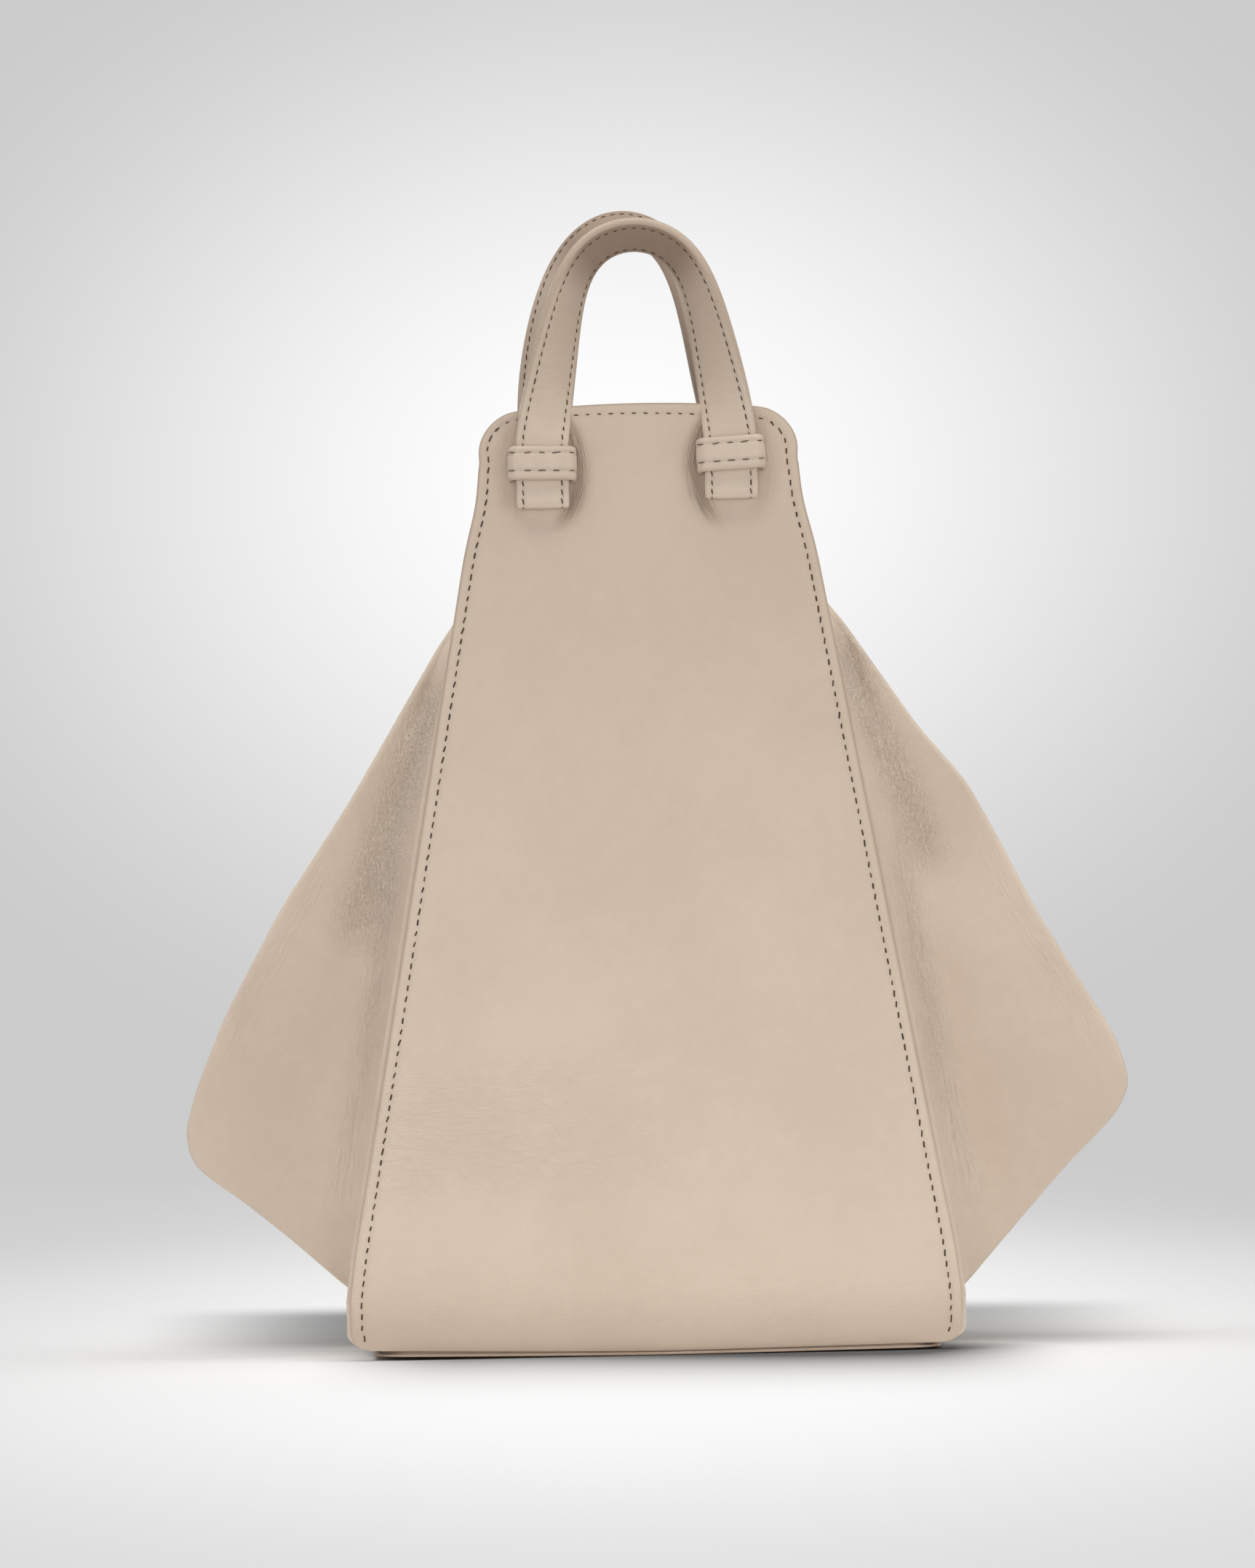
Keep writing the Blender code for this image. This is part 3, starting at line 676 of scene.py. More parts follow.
stitch_row, given, result = node_group(
    "GeometryNodeTree", "Row of stitches",
    [("Seam", "NodeSocketGeometry", None), ("Pitch", FLOAT, 0.0034), ("Length", FLOAT, 0.0019),
     ("Thick", FLOAT, 0.0006), ("Slant", FLOAT, 0.1), ("Thread", "NodeSocketMaterial", None)],
    [("Stitches", "NodeSocketGeometry")])
curve = node(stitch_row, "GeometryNodeMeshToCurve", {"Mesh": given["Seam"]})
spaced = node(stitch_row, "GeometryNodeResampleCurve", {"Curve": curve, "Length": given["Pitch"]},
              mode="LENGTH")
along = node(stitch_row, "FunctionNodeAlignRotationToVector",
             {"Vector": node(stitch_row, "GeometryNodeInputTangent")}, axis="X")
facing = node(stitch_row, "GeometryNodeInputNamedAttribute", {"Name": "facing"}, data_type="FLOAT_VECTOR")
flat = node(stitch_row, "FunctionNodeAlignRotationToVector", {"Rotation": along, "Vector": facing},
            axis="Z", pivot_axis="X")
tilt = node(stitch_row, "FunctionNodeRandomValue", {2: -STITCH_TILT, 3: STITCH_TILT, "Seed": 23},
            data_type="FLOAT")
slant = node(stitch_row, "FunctionNodeAxisAngleToRotation",
             {"Axis": (0, 0, 1), "Angle": maths("ADD", given["Slant"], tilt.outputs[1])})
laid = node(stitch_row, "FunctionNodeRotateRotation", {"Rotation": flat, "Rotate By": slant},
            rotation_space="LOCAL")
bar = node(stitch_row, "GeometryNodeMeshCylinder",
           {"Vertices": 6, "Side Segments": 6, "Radius": 0.5, "Depth": 1.0})
lying = node(stitch_row, "GeometryNodeTransform", {"Geometry": bar.outputs["Mesh"],
                                                   "Rotation": (0, math.pi / 2, 0)})
at = parts_of(node(stitch_row, "GeometryNodeInputPosition"))
dip = times(maths("POWER", maths("ABSOLUTE", at["X"]), 3.0), -STITCH_DIP)
arched = node(stitch_row, "GeometryNodeSetPosition",
              {"Geometry": lying, "Offset": node(stitch_row, "ShaderNodeCombineXYZ", {2: dip})})
size = node(stitch_row, "ShaderNodeCombineXYZ", {0: given["Length"], 1: given["Thick"], 2: given["Thick"]})
stitch = node(stitch_row, "GeometryNodeTransform", {"Geometry": arched, "Scale": size})
vary = node(stitch_row, "FunctionNodeRandomValue", {0: STITCH_LEAST, 1: STITCH_MOST, "Seed": 5},
            data_type="FLOAT_VECTOR")
rows = node(stitch_row, "GeometryNodeInstanceOnPoints",
            {"Points": spaced, "Instance": stitch, "Rotation": laid, "Scale": vary})
chance = node(stitch_row, "FunctionNodeRandomValue", {2: 0.0, 3: 1.0, "Seed": 11}, data_type="FLOAT")
toned = node(stitch_row, "GeometryNodeStoreNamedAttribute",
             {"Geometry": rows, "Name": "tone", "Value": chance.outputs[1]}, domain="INSTANCE")
real = node(stitch_row, "GeometryNodeRealizeInstances", {"Geometry": toned})
smooth = node(stitch_row, "GeometryNodeSetShadeSmooth", {"Geometry": real})
dyed = node(stitch_row, "GeometryNodeSetMaterial", {"Geometry": smooth, "Material": given["Thread"]})
give(stitch_row, result, {"Stitches": dyed})

# The walls' leather, with shade painted into its colour: in the stitch groove, where the foot rolls under, in
# the hollows and creases beside the keepers, along the edges, and more of it towards the top.
smooth_leather = leather(
    "smooth_beige_leather", LEATHER_LIGHT, LEATHER_DARK, [("", 1500.0, 0.000012, 0.035)],
    [("foot", (150, 150, 900), 0.00004, 0.02), ("pull", (800, 120, 40), 0.00030, 0.36, "pull_run"),
     ("worn", (150, 60, 620), 0.00010, 0.020)],
    shade={"seam": 0.05, "foot_shade": 0.28, "pull_shade": 0.42, "upper": 0.20, "edge": 0.60},
    rough=(0.58, 0.44))
wall_edge = edge_paint("wall_edge_paint", EDGE_PAINT, FOOT_EDGE_PAINT_AND_SHADE, "foot_edge")
dark_thread = thread("dark_brown_thread", THREAD_DARK, THREAD_LIGHT)


def sew(name, seams, sizes, side):
    """Lay stitches along seams, each given as its points and the directions that it faces."""
    points = np.concatenate([seam for seam, _ in seams])
    faces = np.concatenate([face for _, face in seams])
    edges, first = [], 0
    for seam, _ in seams:
        edges += [(first + i, first + i + 1) for i in range(len(seam) - 1)]
        first += len(seam)
    mesh = bpy.data.meshes.new(name)
    mesh.from_pydata(turned_round(points, side).tolist(), edges, [])
    held = mesh.attributes.new("facing", "FLOAT_VECTOR", "POINT")
    held.data.foreach_set("vector", np.ravel(turned_round(faces, side)).astype(np.float32))
    piece = bpy.data.objects.new(name, mesh)
    scene.collection.objects.link(piece)
    sewn = piece.modifiers.new("Stitches", "NODES")
    sewn.node_group = stitch_row
    values = {word.title(): value for word, value in sizes.items()}
    values.update(Slant=math.radians(sizes["slant"]), Thread=dark_thread)
    for item in stitch_row.interface.items_tree:
        if item.in_out == "INPUT" and item.name in values:
            sewn[item.identifier] = values[item.name]
    return settle(piece, sharp=180)


levels = np.concatenate([graded(WALL_ROWS, HEIGHT - RIM_CORNER),
                         HEIGHT - RIM_CORNER * (1 - np.sin(np.radians(CORNER_TURNS)))])
# Distances of the wall's outer columns from its edge in millimetres, close as far as its stitches.
from_edge = np.array([0, 0.5, 1, 1.5, 2, 2.5, 3, 3.5, 4, 4.6, 5.4, 6.6, 8.4]) / 1000
reach = half_width(levels)[:, None]
inner = np.linspace(-1, 1, WALL_COLUMNS)[None, 1:-1] * (reach - from_edge[-1])
wall_x = np.concatenate([from_edge[None] - reach, inner, (reach - from_edge[None])[:, ::-1]], 1)
wall_z = np.broadcast_to(levels[:, None], wall_x.shape)
seam_line = outline(SEAM_IN)
to_seam = distance_to(seam_line, wall_x, wall_z)
to_edge = distance_to(outline(0.0), wall_x, wall_z)
groove = -SEAM_DEEP * bell(to_seam, 0, SEAM_WIDE) - EDGE_DROP * np.exp(-to_edge / EDGE_SOFT)
pull_at = pull_line(wall_x, wall_z)
beside = np.where(from_keeper(wall_x) < 0, 1.0, PULL_LINE_OUTER)
beside = beside * ease(np.abs(wall_z - PULL_Z), *PULL_LINE_ENDS)
# Masks for the walls' painted shade (seam, foot_shade, pull_shade, edge, upper), for their creases, and for
# the darkening of the edge paint at the foot.
wall_masks = {
    "seam": bell(to_seam, 0, SEAM_SHADE),
    "foot": within(wall_z, *FOOT_CREASED),
    "foot_shade": ease(wall_z, *FOOT_SHADE),
    "foot_edge": ease(wall_z, *FOOT_PAINT) * ease(np.abs(wall_x), *FOOT_PAINT_HALF),
    "edge": bell(to_edge, 0, EDGE_SHADE) * ease(wall_z, *EDGE_SHADE_RUN),
    "pull": beside * bell(pull_at, *PULL_LINE),
    "pull_shade": beside * bell(pull_at, *PULL_SHADE),
    "pull_run": np.stack([pull_at * np.sign(wall_x), 0 * wall_x, wall_z], -1),
    "upper": ease(wall_z, *UPPER_SHADE),
    "worn": within(wall_z, *WORN) * ease(wall_x, *WORN_ASIDE),
}

along_rim = seam_line[:, 1] > HEIGHT - RIM_ROW_DOWN
wall_rows = (("side", ~along_rim & (seam_line[:, 0] > 0), PANEL_STITCH), ("rim", along_rim, RIM_STITCH),
             ("other_side", ~along_rim & (seam_line[:, 0] < 0), PANEL_STITCH))
for side, word in ((-1, "front"), (1, "back")):
    grid = on_wall(wall_x, wall_z, groove, phase=side)
    wall = skin(f"{word}_wall", grid, [smooth_leather, wall_edge], wall_masks, side)
    thicken(wall, PANEL_T, rim_material=1)
    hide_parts(f"{word}_panel")
    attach(wall, "shell")
    for part, chosen, sizes in wall_rows:
        line_x, line_z = seam_line[chosen].T
        seam = on_wall(line_x, line_z, THREAD_OUT - SEAM_DEEP, phase=side)
        row = sew(f"{word}_wall_{part}_stitches", [(seam, outwards(line_x, line_z))], sizes, side)
        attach(row, "shell")

# Base. A stiff board under its own suede, on an outer sheet whose lip shows as a pale line
# under the walls' painted edges, which are darkened at their foot by painted shade.
BASE_LIP = 0.0005
BASE_LIP_T = 0.0008
BASE_CURL = 0.6            # share of the walls' rise at their feet's ends
BASE_T = 0.0024
BASE_MARGIN = 0.0078
BASE_SHEET_CORNER = 0.012
BASE_INSET = 0.0032
FLANGE = 0.006
GUSSET_T = 0.0016
BASE_LINING_Z = 0.0046
LINING_T = 0.001
GAP = 0.0003
SUEDE_LIGHT = (0.330, 0.245, 0.180, 1)
SUEDE_DARK = (0.235, 0.170, 0.125, 1)
LIP_LIGHT = (0.430, 0.325, 0.245, 1)
LIP_DARK = (0.360, 0.265, 0.195, 1)
BOARD_LIGHT = (0.420, 0.350, 0.275, 1)
BOARD_DARK = (0.330, 0.270, 0.205, 1)
LIP_ROUND = 0.0001
SHEET_PROFILE = [          # inset and height, up round the lip and over its step to the sheet's top
    (0.0004, 0.0), (LIP_ROUND, 0.00015), (0, 0.0005), (LIP_ROUND, BASE_LIP_T - LIP_ROUND),
    (0.0004, BASE_LIP_T), (BASE_INSET, BASE_LIP_T + LIP_ROUND), (BASE_INSET + LIP_ROUND, BASE_T)]
LEAST_CORNER = 0.0004
PLATE_STEPS = (10, 26)     # round a corner and along a side
SHEET_SOFT = 0.0003
BOARD_PLAY = (0.0008, 0.0012)
BOARD_Z = 0.0059
SUEDE_SHEEN = {"Sheen Weight": 0.35, "Sheen Roughness": 0.5}


def flat_plate(name, half_x, half_y, radius, profile, material):
    """A sheet with rounded corners, its ends a little raised; profile is (inset, height) upwards."""
    quarter = np.linspace(0, math.pi / 2, PLATE_STEPS[0])
    rows = []
    for inset, z in profile:
        tight = max(radius - inset, LEAST_CORNER)
        flat_x, flat_y = half_x - inset - tight, half_y - inset - tight
        corner = np.stack([flat_x + tight * np.cos(quarter), flat_y + tight * np.sin(quarter)], -1)
        edge_x = np.linspace(flat_x, -flat_x, PLATE_STEPS[1])[1:-1]
        edge = np.stack([edge_x, np.full_like(edge_x, half_y - inset)], -1)
        upper = np.concatenate([corner, edge, corner[::-1] * [-1, 1]])
        x, y = np.concatenate([upper, -upper]).T
        rows.append(np.stack([x, y, z + BASE_CURL * foot_curl(x)], -1))
    return settle(skin(name, np.array(rows), [material], closed=True), sharp=40)


def suede(name, light, dark, cells):
    """Napped suede or fibre board: no gloss, a fine nap and patches where it was brushed."""
    material, tree, place = new_material(name)
    nap = grouped(tree, leather_grain, Place=place, Cells=cells, Rise=0.00006)
    dye = grouped(tree, uneven_dye_and_shade, Place=place, Light=light, Dark=dark, Crease=dark, Depth=nap["Valley"])
    return surfaced(material, dye["Colour"], nap["Height"], ramp(dye["Patch"], *PATCH_ROUGH, *NAP_ROUGH),
                    SUEDE_SHEEN)


lining_suede = suede("brown_lining_suede", SUEDE_LIGHT, SUEDE_DARK, 2600.0)
fibre_board = suede("fibre_board", BOARD_LIGHT, BOARD_DARK, 1800.0)
lip_leather = leather("base_sheet_leather", LIP_LIGHT, LIP_DARK, [("", 1300.0, 0.00002, 0.10)], [])
base_sheet = flat_plate(
    "base_sheet", BASE_HALF - BASE_MARGIN, BASE_DEPTH_HALF + BASE_LIP, BASE_SHEET_CORNER,
    SHEET_PROFILE, lip_leather)
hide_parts("base_panel")
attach(base_sheet, "shell")

board_x = float(half_width(CORNER_FROM)) - FLANGE - GUSSET_T / 2 - BOARD_PLAY[0]
board_y = float(half_depth(BOARD_Z)) - PANEL_T - GAP - BOARD_PLAY[1]
suede_top = BASE_LINING_Z + LINING_T
base_suede = flat_plate(
    "base_suede", board_x, board_y, BASE_SHEET_CORNER / 2,
    [(SHEET_SOFT, BASE_LINING_Z), (0, BASE_LINING_Z + SHEET_SOFT), (0, suede_top - SHEET_SOFT),
     (SHEET_SOFT, suede_top)], lining_suede)
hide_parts("base_lining")
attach(base_suede, "shell")
for name in ("base_board", "front_rim_stiffener", "back_rim_stiffener"):
    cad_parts[name].data.materials.clear()
    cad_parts[name].data.materials.append(fibre_board)

# Inside layers. Leather facings turn the rim's inside, suede hangs below them, and a slip
# pocket is sewn on to the back suede with its top left open.
FACING_FOOT = 0.275
FACING_T = 0.0012
RIM_STEP = 0.0005
FACING_IN = 0.0039
LINING_IN = 0.0023
LINING_FOOT = 0.0062
LINING_INSET = 0.009
POCKET_LOW = 0.120
POCKET_TALL = 0.085
POCKET_HALF = 0.055
POCKET_BULGE = 0.009
POCKET_T = 0.001
POCKET_SQUARENESS = 6
FACING_STITCH = {"pitch": 0.0034, "length": 0.0019, "thick": 0.0005, "slant": 6}
POCKET_STITCH = {"pitch": 0.0030, "length": 0.0017, "thick": 0.0005, "slant": 4}
FACING_ROW_HALF = 0.042
FACING_ROW_UP = 0.003
ROW_OUT = 0.0001           # threads lie this far off a flat layer
HEM_OUT = 0.0004
HEM_ROW = 3                # its stitches follow this row from the pocket's top, and leave as many columns free
LAYER_STEP = 0.0025
LAYER_STEPS = (12, 45)     # the fewest rows of a layer, and its columns
FACING_ROW_STEPS = 60
POCKET_STEPS = (36, 41)

inside_leather = leather("facing_leather", LEATHER_LIGHT, LEATHER_DARK, [("", 1300.0, 0.00002, 0.035)], [])


def inside_layer(name, side, low, high, inside, thickness, material, node_name):
    """One layer behind a wall, following the wall's form."""
    z = np.linspace(low, high, max(round((high - low) / LAYER_STEP), LAYER_STEPS[0]))[:, None]
    x = np.linspace(-1, 1, LAYER_STEPS[1])[None] * (half_width(z) - LINING_INSET)
    grid = on_wall(x, np.broadcast_to(z, x.shape), -inside, phase=side)
    layer = thicken(skin(name, grid, [material], side=side), thickness)
    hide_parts(node_name)
    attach(layer, "shell")


line_x = np.linspace(-FACING_ROW_HALF, FACING_ROW_HALF, FACING_ROW_STEPS)
row_out = -(FACING_IN + FACING_T + ROW_OUT)
inwards = -outwards(line_x, np.full_like(line_x, FACING_FOOT))
for side, word in ((-1, "front"), (1, "back")):
    inside_layer(f"{word}_rim_facing", side, FACING_FOOT, HEIGHT - RIM_STEP, FACING_IN, FACING_T,
                 inside_leather, f"{word}_facing")
    inside_layer(f"{word}_suede", side, LINING_FOOT, FACING_FOOT - GAP, LINING_IN, LINING_T,
                 lining_suede, f"{word}_lining")
    seams = [(on_wall(line_x, np.full_like(line_x, row_z), row_out, phase=side), inwards)
             for row_z in (FACING_FOOT + FACING_ROW_UP, HEIGHT - SEAM_IN)]
    row = sew(f"{word}_facing_stitches", seams, FACING_STITCH, side)
    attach(row, "shell")

up = (1 - np.cos(np.linspace(0, math.pi, POCKET_STEPS[0])[:, None])) / 2
across = -np.cos(np.linspace(0, math.pi, POCKET_STEPS[1]))[None]
pocket_out = POCKET_BULGE * (1 - (1 - up) ** POCKET_SQUARENESS) * (1 - np.abs(across) ** POCKET_SQUARENESS)
pocket_x = np.broadcast_to(POCKET_HALF * across, pocket_out.shape)
pocket_z = np.broadcast_to(POCKET_LOW + POCKET_TALL * up, pocket_out.shape)
pocket_grid = on_wall(pocket_x, pocket_z, -(LINING_IN + LINING_T + GAP + POCKET_T + pocket_out), phase=1)
pocket = thicken(skin("slip_pocket", pocket_grid, [lining_suede], side=1), POCKET_T, offset=1)
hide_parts("inner_pocket")
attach(pocket, "shell")
hem = pocket_grid[-HEM_ROW, HEM_ROW:-HEM_ROW] + [0, HEM_OUT, 0]
row = sew("pocket_hem_stitches", [(hem, -outwards(hem[:, 0], hem[:, 2]))], POCKET_STITCH, side=1)
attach(row, "shell")

# Gussets and wings. One soft hide closes each side: sewn behind the walls' edges, drawn out
# between them, and folded double into a wing that stands out to the side.
GUSSET_TOP = 0.300
GUSSET_FOOT = 0.0017
WING_LOW = 0.024
WING_APEX = 0.243
WING_T = 0.0036
LEAF = 0.001
FOLD_R = 0.001
ROOT_RUN = 0.008
BEND_OUT_TOP = 0.0015
BEND_OUT_LOW = 0.003
MOUTH_FOLD = 0.014
MOUTH_SPREAD = 0.005
FOOT_SPREAD = 0.030
LEAF_RUN = 0.020           # the leaves close on each other this far outside the walls' edges
LEAF_SHARE = 0.55          # or over this share of the wing where it is narrower
LEAF_IN = 0.62             # share of the depth that the leaves first run straight inwards
LEAF_IN_FLAT = 0.45        # and the share where there is no wing
FLAT_SPREAD = 0.15
LEAF_STEPS = 16
WING_STEPS = 42
TIP_STEPS = 5
FLANGE_POINTS = (0.0012, 0.0030)
PEEK = 0.0016              # how much of the hide's raw edge shows outside the walls'
PEEK_RUN = ((0.25, 0.18), (0.0010, 0.0060))
WING_START = 0.006
FREE_RUN = (0.004, 0.030)
WARP_WAVES = ((0.0016, 34, 11, 1), (0.0007, 95, -60, 0))
BUCKLE_OUT = 0.0005
BUCKLE_WAVES = (640, 5, 60)
BUCKLE_AT = (0.006, 0.005)
BUCKLE_RISE = (0.04, 0.12)
HIDDEN_FROM = 0.75         # share of the depth beyond which the hide lies behind a wall
SLACK_ENDS = (0.024, 0.016, -0.004)
ROOT_SLACK = 0.45
ROOT_SLACK_AT = (0.007, 0.005)
ROOT_SLACK_RUN = ((0.06, 0.10), (0.18, 0.15))
ROOT_CREASE_AT = (0.008, 0.006)
ROOT_CREASE_RUN = ((0.035, 0.06), (0.20, 0.15))
FRINGE_AT = (0.006, 0.007)
FRINGE_RUN = ((0.085, 0.11), (0.20, 0.15))
ROOT_SHADE = 0.009
ROOT_SHADE_RISE = (0.03, 0.15)
HIDE_SEAM = (-0.0035, 0.001)
SIDE_ROWS = ((GUSSET_FOOT, 0.0005), (0.0085, 0.0010), (0.0185, 0.0009), (0.030, 0.0019), (0.236, 0.0010))
MOUTH_FROM = 0.250
MOUTH_ROWS = 26
EDGE_STEPS = 420
EDGE_SMOOTHINGS = 60
# A wing's folded edge, as height and distance from the bag's middle; close moves the place where
# its leaves meet, and grain has the heights between which a pebbled band runs down and outwards,
# over the distances in GRAIN_RUN, and half the band's width.
GRAIN_RUN = (0.003, 0.017)
WINGS = {
    "left": {"sign": -1, "close": 0.002, "grain": (0.222, 0.152, 0.0090), "edge": [
        (0.0195, 0.1040), (0.0399, 0.1259), (0.0527, 0.1408), (0.0645, 0.1572), (0.0755, 0.1597),
        (0.0902, 0.1556), (0.1149, 0.1454), (0.1517, 0.1253), (0.1885, 0.1006), (0.2530, 0.0620)]},
    "right": {"sign": 1, "close": -0.001, "grain": (0.236, 0.174, 0.0080), "edge": [
        (0.0160, 0.1040), (0.0348, 0.1201), (0.0592, 0.1412), (0.0770, 0.1592), (0.0868, 0.1636),
        (0.1023, 0.1588), (0.1464, 0.1324), (0.1715, 0.1200), (0.1903, 0.1099), (0.2093, 0.0938),
        (0.2530, 0.0640)]},
}
# A little lighter than the walls' leather: painted light for the wings, which stand back between the walls'
# edges and get less light.
HIDE_LIGHT = (0.695, 0.574, 0.463, 1)
HIDE_DARK = (0.658, 0.537, 0.430, 1)


def bending_line(z):
    """Distance of a wing's hinge line from the bag's middle, at a height."""
    low = half_width(WING_LOW) + BEND_OUT_LOW
    top = half_width(WING_APEX) + BEND_OUT_TOP
    return low + (top - low) * (z - WING_LOW) / (WING_APEX - WING_LOW)


def root(z):
    """Where the gusset's leaves end: distance from the middle, half their spread, and their run."""
    clear = WING_T / 2 + GAP
    down = ease(z, WING_LOW, GUSSET_FOOT)
    up = ease(z, WING_APEX, GUSSET_TOP)
    drawn = np.where(z > WING_APEX, half_width(WING_APEX) - half_width(z), 0)
    out = bending_line(np.clip(z, WING_LOW, WING_APEX)) - clear - FLANGE * down - drawn - MOUTH_FOLD * up
    spread_y = LEAF + (FOOT_SPREAD - LEAF) * down + (MOUTH_SPREAD - LEAF) * up
    return out, spread_y, ROOT_RUN * (1 - down) * (1 - up), up


def wing_edge(z, corners):
    """Distance of a wing's folded edge from the bag's middle plane, smoothed between its corners."""
    heights, reach = np.array(corners).T
    fine = np.linspace(heights[0], heights[-1], EDGE_STEPS)
    far = np.interp(fine, heights, reach)
    for _ in range(EDGE_SMOOTHINGS):
        far[1:-1] = (far[:-2] + 2 * far[1:-1] + far[2:]) / 4
    return np.interp(z, fine, far, left=0, right=0)


# The hide's leather, with shade painted along the root where its leaves meet, at its stitched flange and into
# its creases; the pebbled band's valleys are darker, partly with painted shade.
soft_leather = leather(
    "soft_beige_leather", HIDE_LIGHT, HIDE_DARK,
    [("", 1300.0, 0.00002, 0.035), ("slack", 880.0, 0.00032, 0.10)],
    [("root", (600, 1, 90), 0.00018, 0.040, "fold_run"), ("slack", (1000, 1000, 460), 0.00022, 0.04),
     ("fringe", (420, 1, 70), 0.00011, 0.018, "edge_run")],
    shade={"root_shade": 0.03, "seam": 0.06}, rough=(0.60, 0.46))
soft_edge = edge_paint("hide_edge_paint", EDGE_PAINT)

side_z = np.concatenate([graded(SIDE_ROWS, MOUTH_FROM), np.linspace(MOUTH_FROM, GUSSET_TOP, MOUTH_ROWS)])
edge = half_width(side_z)
inner = edge - FLANGE
seam_y = half_depth(side_z) - PANEL_T - GAP - GUSSET_T / 2
root_x, root_y, run, up = root(side_z)
t = np.linspace(0, 1, LEAF_STEPS + 1)[1:, None]
weights = np.stack([(1 - t) ** 3, 3 * t * (1 - t) ** 2, 3 * t * t * (1 - t), t ** 3])
s = np.linspace(0, 1, WING_STEPS + 1)[None, 1:]
turn = np.linspace(0, math.pi / 2, TIP_STEPS + 1)[None, 1:]
peek = PEEK * within(side_z, *PEEK_RUN)
flange_x = np.stack([edge + peek, *(edge - point for point in FLANGE_POINTS), inner], 1)
flange_y = np.repeat(seam_y[:, None], flange_x.shape[1], 1)
for word, wing in WINGS.items():
    sign = wing["sign"]
    tip_x = wing_edge(side_z, wing["edge"])
    wide = np.clip(tip_x - edge, 0, None)
    has_wing = ease(wide, 0.0, WING_START)
    tip_x = np.maximum(tip_x, root_x)
    meet_x = root_x + (edge + np.minimum(LEAF_RUN, LEAF_SHARE * wide) - root_x) * has_wing
    before = run + (meet_x - edge - wing["close"] - run) * has_wing
    straight = LEAF_IN_FLAT + (LEAF_IN - LEAF_IN_FLAT) * has_wing
    guide_x = np.stack([inner, inner, meet_x - before, meet_x])
    guide_y = np.stack([seam_y, seam_y - straight * (seam_y - root_y), root_y, root_y])
    leaf_x = (weights * guide_x[:, None]).sum(0).T
    leaf_y = (weights * guide_y[:, None]).sum(0).T
    span = np.clip(tip_x - GUSSET_T / 2 - FOLD_R - meet_x, 0, None)
    fold_y = LEAF * has_wing + FLAT_SPREAD * root_y * (1 - has_wing)
    has_wing, meet_x, tip_x = has_wing[:, None], meet_x[:, None], tip_x[:, None]
    flat_x = meet_x + span[:, None] * s
    flat_y = root_y[:, None] + (fold_y - root_y)[:, None] * s
    fold_x = flat_x[:, -1:] + FOLD_R * has_wing * (1 - up[:, None]) * np.sin(turn)
    x = np.concatenate([flange_x, leaf_x, flat_x, fold_x], 1)
    y = np.concatenate([flange_y, leaf_y, flat_y, fold_y[:, None] * np.cos(turn)], 1)
    x = np.concatenate([x, x[:, -2::-1]], 1)
    y = np.concatenate([-y, y[:, -2::-1]], 1)
    z = side_z[:, None] + foot_curl(sign * x) * ease(side_z, *CURL_FADE)[:, None]
    out = x - edge[:, None]
    free = ease(out, *FREE_RUN) * has_wing
    warp = sum(rise * np.sin(a * z + b * out + sign * turned) for rise, a, b, turned in WARP_WAVES) * free
    tight, share, slow = BUCKLE_WAVES
    buckle = BUCKLE_OUT * np.sin(tight * out + share * np.sin(slow * z)) * bell(out, *BUCKLE_AT)
    hidden = np.abs(y) > HIDDEN_FROM * seam_y[:, None]
    y = y + warp + np.where(hidden, 0, buckle * has_wing * ease(z, *BUCKLE_RISE))
    from_z, to_z, grain_half = wing["grain"]
    low, high, last = SLACK_ENDS
    middle = np.interp(z, (to_z, from_z), GRAIN_RUN[::-1])
    slack = bell(out, middle, grain_half) * within(z, (to_z - low, to_z), (from_z + high, from_z + last))
    slack = slack + ROOT_SLACK * bell(out, *ROOT_SLACK_AT) * within(z, *ROOT_SLACK_RUN)
    columns = np.arange(x.shape[1])
    leaf = np.minimum(columns, columns[::-1]) >= flange_x.shape[1]
    masks = {
        "slack": slack * leaf,
        "root": bell(out, *ROOT_CREASE_AT) * within(z, *ROOT_CREASE_RUN) * leaf,
        "fringe": bell(tip_x - x, *FRINGE_AT) * within(z, *FRINGE_RUN) * free,
        "fold_run": np.stack([out, 0 * out, z], -1),
        "edge_run": np.stack([tip_x - x, 0 * x, z], -1),
        "root_shade": bell(np.clip(out, 0, None), 0, ROOT_SHADE) * ease(z, *ROOT_SHADE_RISE),
        "seam": bell(out, *HIDE_SEAM) * (np.abs(y) > seam_y[:, None] - HIDE_SEAM[1]),
    }
    way = slice(None, None, sign)
    grid = np.stack([sign * x, y, z], -1)[:, way]
    masks = {name: values[:, way] for name, values in masks.items()}
    hide = skin(f"{word}_side", grid, [soft_leather, soft_edge], masks)
    thicken(hide, GUSSET_T, rim_material=1, offset=0)
    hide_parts(f"{word}_gusset", f"{word}_wing")
    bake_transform(hide)

# Keepers. Short bands of thin leather, folded over a soft core so that they look plump,
# which hold the strap ends down on the walls. Two rows of stitches run along each.
STRAP_W = 0.018
END_LEAF = 0.0019
KEEPER_TALL = 0.0118
KEEPER_WALL = 0.0018
KEEPER_SLACK = 0.0007
KEEPER_ROUND = 0.0014
KEEPER_STITCH = {"pitch": 0.0041, "length": 0.0027, "thick": 0.00032, "slant": 3}
KEEPER_ROWS = (0.0034, -0.0028)
KEEPER_LIGHT = (0.615, 0.503, 0.401, 1)
KEEPER_DARK = (0.577, 0.467, 0.369, 1)
KEEPER_STEP = 0.0005
KEEPER_STEPS = (12, 31)    # round its bends, and from its foot to its top
KEEPER_SQUARENESS = 10     # of its rounded edges
KEEPER_RIM = 14            # how close its rim's shade keeps to the edges
